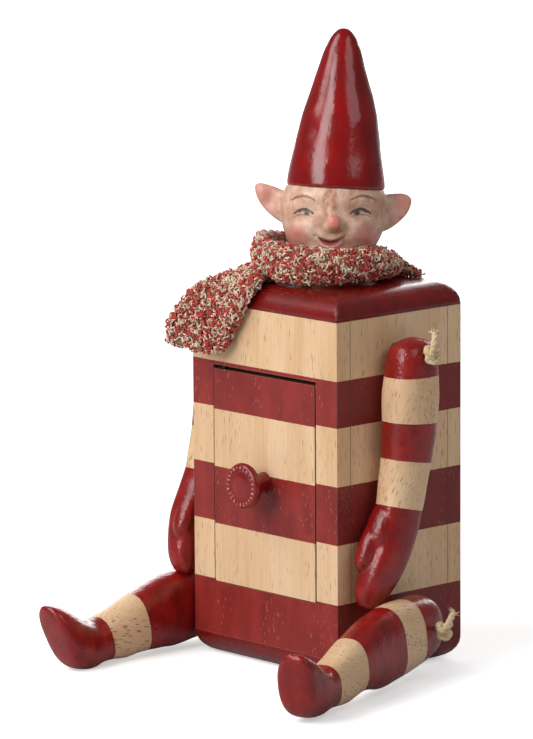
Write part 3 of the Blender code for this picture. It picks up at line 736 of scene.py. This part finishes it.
# ---- cords
ROPE_R, KNOT_ROPE_R = 1.1, 1.45
ROPE_PITCH, ROPE_STEP = 5.4, 0.35
KNOT_SIZE, KNOT_DEPTH = 1.15, 1.6
KNOT_INSET, STOPPER_INSET = 4.4, 3.6    # how far each knot lies inside the two ends of the cord's room
CORD_TAILS = (("shoulder", (1.2, 1.6, 8.8)), ("hip", (1, 5.6, 6.6)))
FIBRES = 30


def overhand_knot():
    """An overhand knot seen from outside the limb, as rows of outward, forward or back, up."""
    t = np.linspace(-0.28, 2 * math.pi - 0.62, 30)
    across = (np.sin(t) + 2 * np.sin(2 * t)) * KNOT_SIZE
    up = (np.cos(t) - 2 * np.cos(2 * t)) * KNOT_SIZE
    outward = -np.sin(3 * t) * KNOT_DEPTH + 1.8
    return np.stack([outward, across, up], -1)


def rope(path, radius):
    """Two strands twisted round each other along a path."""
    steps = lengths_along(path)
    even = np.linspace(0, steps[-1], int(steps[-1] / ROPE_STEP) + 2)
    path = np.stack([np.interp(even, steps, path[:, i]) for i in range(3)], -1)
    across, up = frames_along(path)
    strands = []
    for phase in (0, math.pi):
        angle = (2 * math.pi * even / ROPE_PITCH + phase)[:, None]
        centre = path + (np.cos(angle) * across + np.sin(angle) * up) * radius * 0.34
        strands.append(tube(centre, radius * 0.7, 9))
    return strands


def frayed_end(tip, direction, radius):
    """Loose fibres fanning out of a cut end."""
    fibres = []
    direction = direction / np.linalg.norm(direction)
    for _ in range(FIBRES):
        spread = rng.normal(size=3)
        spread -= direction * (spread @ direction)
        length = rng.uniform(1.2, 2.3)
        t = np.linspace(0, 1, 6)[:, None]
        path = tip - direction * 0.8 + direction * length * t + spread * radius * 0.75 * (0.3 + t * t)
        fibres.append(tube(path, np.linspace(0.24, 0.12, 6), 5))
    return fibres


def cord_material():
    shader = Shader("cord_cotton")
    ply = shader.noise(0.35, 3)
    colour = shader.ramp(shader.noise(4), (0.3, srgb(206, 178, 130)), (0.7, srgb(236, 216, 176)))
    colour = shader.coat(colour, shader.step(ply, 0.62, 0.4), 0.45, srgb(150, 116, 74))
    return shader.done(colour, 0.85, shader.bump(ply, 0.12), Sheen_Weight=0.3)


def cord_solid(inner, outer, tail):
    """A cord along X: a stopper knot at inner, a knot at outer and a frayed tail past it."""
    knot = overhand_knot()
    outside = knot + (outer, 0, 0)
    start = np.array([(x, 0, 0) for x in (inner + 2, inner + 8, outer - 8, outer - 0.5)])
    tip = np.array(tail) + (outer + 0.6, 0, 0)
    middle = outside[-1] * 0.5 + tip * 0.5 + (0.5, 0.1, 0)
    path = spline(np.vstack([start[-1:], outside, [middle], [tip]]), 5)
    stopper = spline(knot * (-1.05, 1.05, 1.05) + (inner, 0, 0), 4)
    solids = rope(spline(start, 5), ROPE_R) + rope(path, KNOT_ROPE_R) + rope(stopper, ROPE_R)
    return joined(solids + frayed_end(path[-1], path[-1] - path[-4], KNOT_ROPE_R))


def make_cords():
    material = cord_material()
    for side, sign in SIDES:
        for joint, tail in CORD_TAILS:
            name = f"{side}_{joint}_cord"
            near, far = sorted(abs(corner.x) for corner in cad_box(name))
            points, faces = cord_solid(near + STOPPER_INSET, far - KNOT_INSET, tail)
            pivot = joint_place(f"{side}_{joint}")
            points = points * (sign, 1, 1) + (0, pivot.y, pivot.z)
            finish_piece(mesh_object(f"{name}_twisted", (points, faces)), "box", material, name)


# ---- head and hat
HEAD_TURN, HEAD_ROLL, HEAD_PITCH, HEAD_OFFSET = 44, 3, -7, 2.2
CROWN_Z = 33.6
FACE_TILT = 0.055       # the face is carved with its right side slightly higher
SKULL_SIDES = 96


def head_matrix():
    """Head space (face towards -Y, origin where the neck meets the head) to the frame."""
    lean = turned(HEAD_TURN, "Z") @ turned(HEAD_ROLL, "Y") @ turned(HEAD_PITCH, "X")
    return Matrix.Translation(joint_place("head_turn")) @ lean @ Matrix.Translation((HEAD_OFFSET, 0, 0))


# height, half width, depth to the face, depth to the back
SKULL = ((0, 6.5, 6.5, 6.5), (1.2, 10.6, 11.4, 10.6), (3.6, 14.8, 15.8, 14.6), (7, 18.2, 18.4, 17.6),
         (14, 21.6, 20.8, 21), (21, 23, 21.8, 22.6), (28, 22.6, 21.6, 22.6), (32.6, 21.7, 21.1, 21.7),
         (CROWN_Z, 21.1, 20.5, 21.1))
# the hat's peg on top: radius and height
PEG_R, PEG_HEIGHT = 11.4, 7.6


def skull_solid():
    angle = 2 * math.pi * (np.arange(SKULL_SIDES) + 0.5) / SKULL_SIDES
    rows = [tuple(row) for row in spline(SKULL, 5)]
    rows += [(z, PEG_R, PEG_R, PEG_R) for z in (CROWN_Z, CROWN_Z + PEG_HEIGHT)]
    rings = []
    for height, width, front, back in rows:
        depth = np.where(np.sin(angle) > 0, back, front)
        ring = [width * np.cos(angle), depth * np.sin(angle), np.full(SKULL_SIDES, height)]
        rings.append(np.stack(ring, -1))
    return loft(rings)


# each ear's outline: outward, lowest, highest; the tips are pulled up and out
EARS = {-1: ((18, 15.4, 30), (22.5, 16.8, 31.1), (25.7, 18.4, 32.2), (28.8, 20.6, 33.1), (31.7, 23.4, 33.7),
             (33.6, 26.1, 33.7), (34.8, 28.8, 33.2), (35.4, 31.2, 32.4)),
        1: ((18, 14.4, 30.8), (22.5, 15.4, 31.6), (25.7, 17, 32.2), (28.8, 19.6, 32.4), (31.2, 22.2, 32.1),
             (32.6, 24.4, 31.4), (33.5, 26.8, 30.4), (33.8, 28.3, 29.2))}


def ear_solid(sign):
    """A leaf-shaped ear, swept back a little and thinner towards its tip."""
    rings = []
    outline = spline(EARS[sign], 4)
    for k, (outward, low, high) in enumerate(outline):
        t = k / (len(outline) - 1)
        centre = (sign * outward, 1.2 + 3 * t, (low + high) / 2)
        rings.append(section(centre, (0, 2.9 - 1.9 * t * t, 0), (0, 0, (high - low) / 2), 2, 30))
    return loft(rings)


def ball(centre, radii, count=24):
    angle = np.linspace(0, math.pi, count // 2 + 1)[1:-1]
    profile = [(0, 1)] + [(math.sin(a), math.cos(a)) for a in angle] + [(0, -1)]
    points, faces = lathe(profile, count)
    return points * np.asarray(radii) + np.asarray(centre), faces


def hump(x, z, centre_x, centre_z, wide, tall):
    return np.exp(-((x - centre_x) / wide) ** 2 - ((z - centre_z) / tall) ** 2)


def carve_face(points):
    """How far each point of the face is pushed out (+) or in (-), in head space."""
    x, z = points[:, 0], points[:, 2] - FACE_TILT * points[:, 0]
    size = np.abs(x)
    push = 0.9 * hump(size, z, 13, 14.5, 5.5, 5)                    # cheeks
    push += 0.7 * hump(size, z, 11, 28.5, 6, 2.2)                   # brow ridges
    push -= 1.1 * hump(size, z, 11.5, 22.6, 5, 3.2)                 # eye hollows
    push += 0.75 * hump(size, z, 12.2, 22.4, 3.6, 1.6)              # closed lids
    push += hump(x, z, 0.4, 24.5, 2.4, 5)                           # bridge of the nose
    push -= 0.5 * hump(size, z, 5.6, 15.6, 2, 2.6)                  # beside the nostrils
    push += 0.9 * hump(x, z, 0, 4.6, 5.5, 2.6)                      # chin
    smile = 11.9 - 2.2 * (1 - (x / 5.6) ** 2)
    inside = np.clip(1 - (x / 6) ** 2, 0, 1)
    push -= 1.35 * inside * np.exp(-((z - smile) / 0.75) ** 2)      # open smile
    push += 0.8 * inside * np.exp(-((z - smile + 1.9) / 0.9) ** 2)  # lower lip
    push += 0.45 * inside * np.exp(-((z - smile - 1.5) / 0.8) ** 2) # upper lip
    push -= 0.5 * hump(size, z, 6.6, 12.4, 0.9, 1)                  # corners of the mouth
    return push * np.clip(-points[:, 1] / 8, 0, 1)


class FaceShader(Shader):
    """A shader that can also paint spots and brush lines by their place on the face, in head space."""

    def __init__(self, name):
        super().__init__(name)
        self.x, self.y, z = self.split(self.attribute("face", "Vector"))
        self.z = self.x * -FACE_TILT + z
        self.size = abs(self.x)
        self.wobble = (self.noise(1.4) - 0.5) * 0.9

    def blob(self, value, centre_x, centre_z, wide, tall):
        """1 in the middle of a soft oval and 0 outside it."""
        dx = (value - centre_x) / wide
        dz = (self.z - centre_z) / tall
        return self.step(dx * dx + dz * dz, 1, 0)

    def stroke(self, value, centre, half, base, rise, thick):
        """A brush line that arches by rise over a span of 2 half, thinner at its ends."""
        dx = (value - centre) / half
        squared = dx * dx
        gap = abs(self.z + self.wobble - (squared * -rise + (base + rise)))
        gap = gap / self.math("MAXIMUM", squared * -0.6 + 1, 0.2)
        return self.step(gap, thick, thick * 0.35) * self.step(squared, 1.05, 0.9)


def skin_colour(shader, mottle, fine, broken):
    """Flesh paint, worn to brown in places and rosy on the cheeks and the ears."""
    x, size, blob = shader.x, shader.size, shader.blob
    colour = shader.ramp(mottle, (0.34, srgb(184, 138, 112)), (0.66, srgb(217, 181, 158)))
    colour = shader.coat(colour, shader.step(fine, 0.58, 0.75), 0.4, srgb(170, 120, 86))
    patch = shader.math("MAXIMUM", blob(x, -1.2, 27.5, 4.6, 11), blob(size, 20, 24, 4.5, 8) * 0.5)
    patch = shader.math("MAXIMUM", patch, blob(x, 9, 27.5, 7, 5) * 0.45)
    wash = shader.step(patch, 0.05, 0.85) * shader.step(broken, 0.34, 0.56)
    colour = shader.coat(colour, wash, 0.75, srgb(166, 102, 70))
    colour = shader.coat(colour, blob(size, 15.5, 12.5, 7, 6), 0.55, srgb(206, 108, 108))
    return shader.coat(colour, shader.step(size, 23.5, 29), 0.55, srgb(208, 132, 122))


def face_paint(shader, broken):
    """What is painted on the front of the face, in order: where, how strongly and its colour."""
    x, size, blob, stroke = shader.x, shader.size, shader.blob, shader.stroke
    glint = shader.ramp(shader.step(broken, 0.46, 0.54), (0, srgb(66, 58, 54)), (1, srgb(156, 146, 132)))
    return (
        (blob(size, 11.8, 23.6, 7, 4.2), 0.3, srgb(176, 118, 84)),            # shade of the eye hollows
        (stroke(size, 13, 5.6, 28, 2, 1), 0.8, srgb(120, 58, 38)),            # brows
        (stroke(size, 12.3, 4.2, 22, 1.7, 1), 0.85, glint),                   # eyes between the lids
        (blob(size, 11, 22.5, 1.7, 1.3), 1, srgb(44, 38, 38)),                # irises
        (stroke(size, 12.3, 4.8, 22.1, 2.1, 1), 0.92, srgb(52, 42, 38)),      # upper lids
        (stroke(size, 12.6, 4.4, 20.7, 1.2, 0.45), 0.6, srgb(110, 78, 60)),   # lower lashes
        (stroke(x, 0.4, 5.2, 10.9, -2, 1.1), 0.9, srgb(160, 36, 68)),         # lips
        (stroke(x, 0.3, 5.8, 12, -2.1, 0.75), 0.95, srgb(84, 24, 26)),        # the mouth's opening
        (blob(x, 2.2, 15.6, 4.4, 2.6), 0.6, srgb(150, 98, 70)),               # shade under the nose
    )


def skin_material():
    shader = FaceShader("skin_painted")
    mottle = shader.noise(5, 4)
    fine = shader.noise((1, 1, 2.2), 3)
    broken = shader.noise((1.8, 1.8, 3), 5)
    colour = skin_colour(shader, mottle, fine, broken)
    front = shader.step(shader.y, -3, -6)
    for mask, strength, paint in face_paint(shader, broken):
        colour = shader.coat(colour, mask * front, strength, paint)
    nose = shader.blob(shader.x, 1.5, 18.9, 3.5, 3.3) * shader.step(shader.y, -23, -24.6)
    colour = shader.coat(colour, nose, 0.85, srgb(214, 104, 104))
    return shader.done(colour, 0.42, shader.bump(fine * 0.6 + mottle + broken * 1.2, 0.2))


def make_head():
    nose, nostrils = ball((1.5, -22.6, 18.2), (3.6, 3.7, 3.4)), ball((1.2, -21, 16.4), (4.4, 2.6, 2.3))
    head = fused("head_carved", [skull_solid(), ear_solid(-1), ear_solid(1), nose, nostrils], 0.42, 4)
    points = get_points(head)
    on_skull = (np.abs(points[:, 0]) < 24) & (points[:, 2] < CROWN_Z - 0.5)
    shift = carve_face(points) * on_skull
    ear_front = per_point(head, "normal")[:, 1] < 0
    ear_hollow = hump(np.abs(points[:, 0]), points[:, 2], 28, 26.2, 4, 4.6) * ear_front
    points = pushed(head, points, shift + lumps(points, 7) * 0.14)
    points[:, 1] += ear_hollow * 1.7
    store(head, "face", points)
    set_points(head, placed(points, head_matrix()))
    finish_piece(head, "head", skin_material(), "head")


# from the tip to the rim: radius, height
HAT_PROFILE = ((0.8, 69.7), (2.5, 69.1), (4.2, 67.4), (5.5, 65.4), (6.6, 63), (7.7, 60.4), (9.9, 53.4),
               (12.3, 45.6), (14.6, 37.8), (16.7, 29.8), (18.8, 18.2), (20.3, 10.4), (21.2, 4.6),
               (21.5, 1.5), (21.4, 0.2), (21.1, -0.25))
HAT_LEAN = 0.4      # how far the hat sits off the head's middle, to its right
HAT_GAP = 0.3       # how far its rim is above the crown


def lacquer_material():
    shader = Shader("red_lacquer")
    colour = shader.ramp(shader.noise((8, 8, 20), 3), (0.3, HAT_RED_DARK), (0.7, HAT_RED))
    colour = shader.coat(colour, shader.specks(1.6, 0.25, 0.16), 0.4, srgb(196, 90, 80))
    peel = shader.noise((1.5, 1.5, 2.4)) + shader.noise((5, 5, 9)) * 2
    rough = shader.ramp(shader.noise((6, 6, 12), 3), (0.3, 0.15), (0.75, 0.25))
    return shader.done(colour, rough, shader.bump(peel, 0.08))


def make_hat():
    """A turned cone with slightly uneven sides, open underneath for the head's peg."""
    profile = [(0, 0)] + [tuple(row) for row in spline(HAT_PROFILE, 6)] + [(12, -0.2), (12, 8.2), (0, 0)]
    points, faces = lathe(profile, 120)
    outward = unit(points * (1, 1, 0))
    dents = lumps(points * (1, 1, 0.7), 18) * 0.55 + lumps(points, 8) * 0.16 + lumps(points, 2.6) * 0.03
    points = points + outward * dents[:, None] * np.clip(points[:, 2:3] / 6, 0, 1)
    seat = head_matrix() @ Matrix.Translation((HAT_LEAN, 0, CROWN_Z + HAT_GAP))
    hat = mesh_object("hat_lacquered", (placed(points, seat), faces))
    finish_piece(hat, "head", lacquer_material(), "hat")


# ---- scarf
# the ring round the neck, by direction seen from above: angle, radius, height, half across, half high, tilt
RING = ((47, 27.4, 175.6, 5.2, 3.8, -25), (92, 27.4, 175.4, 5.4, 4.4, -12), (137, 27.2, 177.4, 5, 5.4, -5),
        (182, 27, 179.4, 5, 6.8, 0), (227, 26.8, 181.2, 4.8, 8, 0), (272, 27, 179.6, 4.9, 7.6, 0),
        (317, 27, 178.8, 5, 6.8, -4), (362, 27, 178.6, 5, 6, -6))
# the two loose ends: centre, half width as a vector, half thickness
FALL = ((-14, -18, 174.8, -4, 2.6, 1, 3.8), (-16.2, -26, 173.2, -8, 3.4, -1.2, 3.4),
        (-16.8, -33.4, 170.8, -12, 2.8, 0, 2.8), (-19.6, -40.6, 166.2, -13, 0.4, 2.8, 2.4),
        (-25, -44.8, 158.6, -13.4, -3.4, 4.6, 2.3), (-29.8, -46.9, 150, -13.2, -5.4, 4.2, 2.3),
        (-32.6, -48.2, 144.2, -11.8, -5.5, 3.6, 2.3), (-35, -49.2, 140.4, -9.8, -4.6, 2.2, 2.1))
REAR_END = ((-3, 24.6, 176, -0.4, 0.9, 5.4, 4.6), (4, 26.2, 175.4, -0.4, 0.9, 5.2, 4.4),
            (9.3, 27.7, 174.6, -0.4, 0.9, 4.6, 4), (13, 28.8, 173.6, -0.4, 0.9, 3.8, 3.6),
            (16.8, 30, 172.2, -0.4, 0.9, 2.6, 3.2), (21, 31.5, 170.8, -0.3, 0.8, 1.4, 2.8),
            (24.5, 32.4, 170, -0.3, 0.8, 0.9, 2.4), (26.2, 33, 169.8, -0.2, 0.5, 0.5, 1.4))
LOOP_R, YARN_R = 1.1, 0.46
LOOPS = 6600
TURN_GAP = 0.35     # room left between the scarf and the turning head


def scarf_end(stations):
    """A flat strip of knitting, squarish across."""
    path = spline(stations, 6)
    run = unit(np.gradient(path[:, :3], axis=0))
    strip = []
    for direction, row in zip(run, path):
        across = row[3:6]
        strip.append(section(row[:3], across, unit(np.cross(direction, across)) * row[6], 2.8, 32))
    return loft(strip)


def scarf_ring():
    """The tube of knitting round the neck."""
    rows = spline(RING, 5, closed=True)
    rings = []
    for k, (_, radius, height, across, high, tilt) in enumerate(rows):
        outward = level(RING[0][0] + 360 * k / len(rows))
        lean = math.radians(tilt)
        flat = outward * math.cos(lean) + (0, 0, math.sin(lean))
        raised = -outward * math.sin(lean) + (0, 0, math.cos(lean))
        rings.append(section(outward * radius + (0, 0, height), flat * across, raised * high, 2.2, 28))
    return loft(rings, closed=True)


def scarf_core():
    core = fused("scarf_core", [scarf_ring(), scarf_end(FALL), scarf_end(REAR_END)], 0.9, 6)
    points = get_points(core)
    push = lumps(points, 5.5) * 0.55 + lumps(points, 2.6) * 0.3
    set_points(core, clear_of_head(pushed(core, points, push)))
    return core


def clear_of_head(points):
    """The points, moved straight out from the turning axis wherever the turning head would sweep them."""
    head = get_points(bpy.data.objects["head_carved"])
    height = np.floor(head[:, 2]).astype(int)
    levels = np.arange(height.min(), height.max() + 1)
    swept = np.array([np.hypot(*head[height == level, :2].T).max() for level in levels])
    swept = np.maximum(swept, np.maximum(np.append(swept[1:], 0), np.append(0, swept[:-1])))
    out = np.hypot(points[:, 0], points[:, 1])
    need = np.interp(points[:, 2], levels + 0.5, swept, left=0, right=0) + TURN_GAP
    moved = points.copy()
    moved[:, :2] *= np.maximum(1, need / out)[:, None]
    return moved


def yarn_loops(points, normals):
    """Open curls of yarn scattered over a surface, one at each point, as one solid without end caps."""
    bend, sides, count = 8, 4, len(points)
    tilt = unit(normals + rng.normal(scale=0.95, size=normals.shape))
    first = unit(np.cross(tilt, rng.normal(size=normals.shape)))
    second = np.cross(tilt, first)
    size = LOOP_R * rng.uniform(0.75, 1.3, count)
    oval = rng.uniform(0.6, 1, count)
    sweep = rng.uniform(0.8, 1.75, count) * math.pi
    wave = rng.uniform(-0.35, 0.35, count)
    t = np.linspace(0, 1, bend)[None, :] * sweep[:, None]
    centre = (points[:, None, :] + normals[:, None, :] * rng.uniform(0.1, 0.75, (count, 1, 1))
              + first[:, None, :] * (np.cos(t) * size[:, None])[..., None]
              + second[:, None, :] * (np.sin(t) * (size * oval)[:, None])[..., None]
              + tilt[:, None, :] * (np.sin(2 * t) * wave[:, None])[..., None])
    run = unit(np.gradient(centre, axis=1))
    across = unit(np.cross(run, tilt[:, None, :] + 1e-3))
    up = np.cross(across, run)
    swell = YARN_R * (0.8 + 0.25 * np.sin(t * 3 + rng.uniform(0, 6, (count, 1))))
    swell[:, (0, -1)] *= 0.45
    angle = 2 * math.pi * np.arange(sides) / sides
    body = (centre[:, :, None, :] + swell[:, :, None, None]
            * (np.cos(angle)[None, None, :, None] * across[:, :, None, :]
               + np.sin(angle)[None, None, :, None] * up[:, :, None, :]))
    one = np.array(ring_faces(bend, sides)[:-2])
    quads = (one[None] + (np.arange(count) * bend * sides)[:, None, None]).reshape(-1, 4)
    return clear_of_head(body.reshape(-1, 3)), [tuple(q) for q in quads.tolist()]


def yarn_material(name, light, dark):
    shader = Shader(name)
    ply = shader.noise(0.3)
    colour = shader.ramp(shader.noise(3, 3), (0.3, dark), (0.7, light))
    colour = shader.coat(colour, shader.step(ply, 0.55, 0.35), 0.3, dark)
    return shader.done(colour, 0.9, shader.bump(ply, 0.15), Sheen_Weight=0.5, Sheen_Roughness=0.4)


def knit_material():
    shader = Shader("knit_core")
    colour = shader.ramp(shader.noise(1.6), (0.45, srgb(120, 38, 32)), (0.55, srgb(150, 116, 92)))
    return shader.done(colour, 0.95, shader.bump(shader.noise(0.7, 3), 0.3))


def scattered(thing, count):
    """Places spread evenly over a mesh, and the directions it faces there."""
    thing.data.calc_loop_triangles()
    points = get_points(thing)
    corners = np.array([t.vertices[:] for t in thing.data.loop_triangles])
    a, b, c = (points[corners[:, i]] for i in range(3))
    cross = np.cross(b - a, c - a)
    area = np.linalg.norm(cross, axis=1) / 2
    chosen = rng.choice(len(area), count, p=area / area.sum())
    u, v = rng.random((2, count, 1))
    flip = (u + v) > 1
    u, v = np.where(flip, 1 - u, u), np.where(flip, 1 - v, v)
    return a[chosen] + (b - a)[chosen] * u + (c - a)[chosen] * v, unit(cross[chosen])


def make_scarf():
    """A core in mottled knit under thousands of red and cream curls of yarn."""
    core = scarf_core()
    spots, normals = scattered(core, LOOPS)
    red = lumps(spots, 3.2) + rng.normal(scale=0.3, size=LOOPS) > -0.01
    for colour, mask, light, dark in (("red", red, srgb(214, 76, 56), srgb(164, 42, 34)),
                                      ("cream", ~red, srgb(236, 216, 188), srgb(196, 168, 140))):
        curls = mesh_object(f"scarf_curls_{colour}", yarn_loops(spots[mask], normals[mask]))
        finish_piece(curls, "box", yarn_material(f"yarn_{colour}", light, dark), "scarf")
    finish_piece(core, "box", knit_material(), "scarf")


# ---- stage
MIDDLE = Vector((0, 0, 150))
FLOOR_HALF = 9000
FLOOR_GLOW = 0.45                   # how much the floor shines near the object, for the camera only
SKY_LIGHT, SKY_SEEN = 0.19, 1     # the surroundings' strength: what they throw, and what the camera sees
COOL_WHITE = (0.96, 0.97, 1)
# soft panels: direction and elevation in degrees, distance, width, height, brightness, colour
PANELS = (("key_panel", -87, 27, 1500, 640, 1100, 7.4, (1, 1, 1)),
          ("left_panel", -126, 46, 1500, 700, 900, 5.2, (1, 1, 1)),
          ("right_panel", 10, 40, 1500, 900, 900, 1.9, COOL_WHITE),
          ("back_panel", 130, 20, 5200, 5200, 2900, 4.4, (1, 1, 1)))
LENS = 243.6
CAMERA_PLACE = (1581.19, -1492.36, 507.73)
# the directions of the camera's right, up and back
CAMERA_AXES = ((0.67832, 0.73474, -0.00650), (-0.12184, 0.12120, 0.98512), (0.72460, -0.66743, 0.17173))


def add_panel(name, azimuth, elevation, distance, width, height, radiance, colour):
    """A soft panel facing the object's middle, by its direction from there."""
    light = bpy.data.lights.new(name, "AREA")
    light.shape = "RECTANGLE"
    light.size, light.size_y = width * MM, height * MM
    light.energy = radiance * math.pi * light.size * light.size_y
    light.color = colour
    panel = bpy.data.objects.new(name, light)
    bpy.context.scene.collection.objects.link(panel)
    raised = math.radians(elevation)
    outward = Vector(level(azimuth)) * math.cos(raised) + Vector((0, 0, math.sin(raised)))
    panel.location = (MIDDLE + outward * distance) * MM
    panel.rotation_euler = (-outward).to_track_quat("-Z", "Y").to_euler()


def make_floor():
    """A pale floor that the camera sees near white and that throws less light up than it shows."""
    far = FLOOR_HALF
    corners = np.array([(-far, -far, 0), (far, -far, 0), (far, far, 0), (-far, far, 0)])
    floor = mesh_object("floor", (corners, [(0, 1, 2, 3)]))
    shader = Shader("floor_pale")
    seen = shader.ramp(shader.noise(400), (0.3, 0.90), (0.7, 0.92))
    direct = shader.node("LightPath", output="Is Camera Ray")
    colour = shader.mix(direct, (0.55, 0.55, 0.56, 1), seen)
    away = shader.math("SQRT", shader.x * shader.x + shader.y * shader.y)
    glow = direct * (shader.step(away, 600, 2600) * (1 - FLOOR_GLOW) + FLOOR_GLOW)
    dress(floor, shader.done(colour, 0.9, None, Emission_Color=(1, 1, 1, 1), Emission_Strength=glow,
                             Specular_IOR_Level=0))


def make_world():
    """Even white surroundings, brighter to the camera than the light they throw."""
    world = bpy.data.worlds.new("studio")
    bpy.context.scene.world = world
    world.use_nodes = True
    nodes, links = world.node_tree.nodes, world.node_tree.links
    surroundings = nodes["Background"].inputs
    surroundings["Color"].default_value = (*COOL_WHITE, 1)
    strength = nodes.new("ShaderNodeMapRange")
    strength.inputs["To Min"].default_value = SKY_LIGHT
    strength.inputs["To Max"].default_value = SKY_SEEN
    links.new(nodes.new("ShaderNodeLightPath").outputs["Is Camera Ray"], strength.inputs["Value"])
    links.new(strength.outputs["Result"], surroundings["Strength"])


def make_camera():
    camera = bpy.data.objects.new("camera", bpy.data.cameras.new("camera"))
    bpy.context.scene.collection.objects.link(camera)
    camera.data.lens = LENS
    camera.data.clip_start, camera.data.clip_end = 0.05, 60
    turn = Matrix(CAMERA_AXES).transposed().to_4x4()
    camera.matrix_world = Matrix.Translation(Vector(CAMERA_PLACE) * MM) @ turn
    bpy.context.scene.camera = camera


dress_cad_nodes()
make_knob()
make_spring()
make_arms()
make_legs()
make_cords()
make_head()
make_hat()
make_scarf()
bpy.context.scene.view_settings.view_transform = "Standard"
make_floor()
make_world()
for panel in PANELS:
    add_panel(*panel)
make_camera()
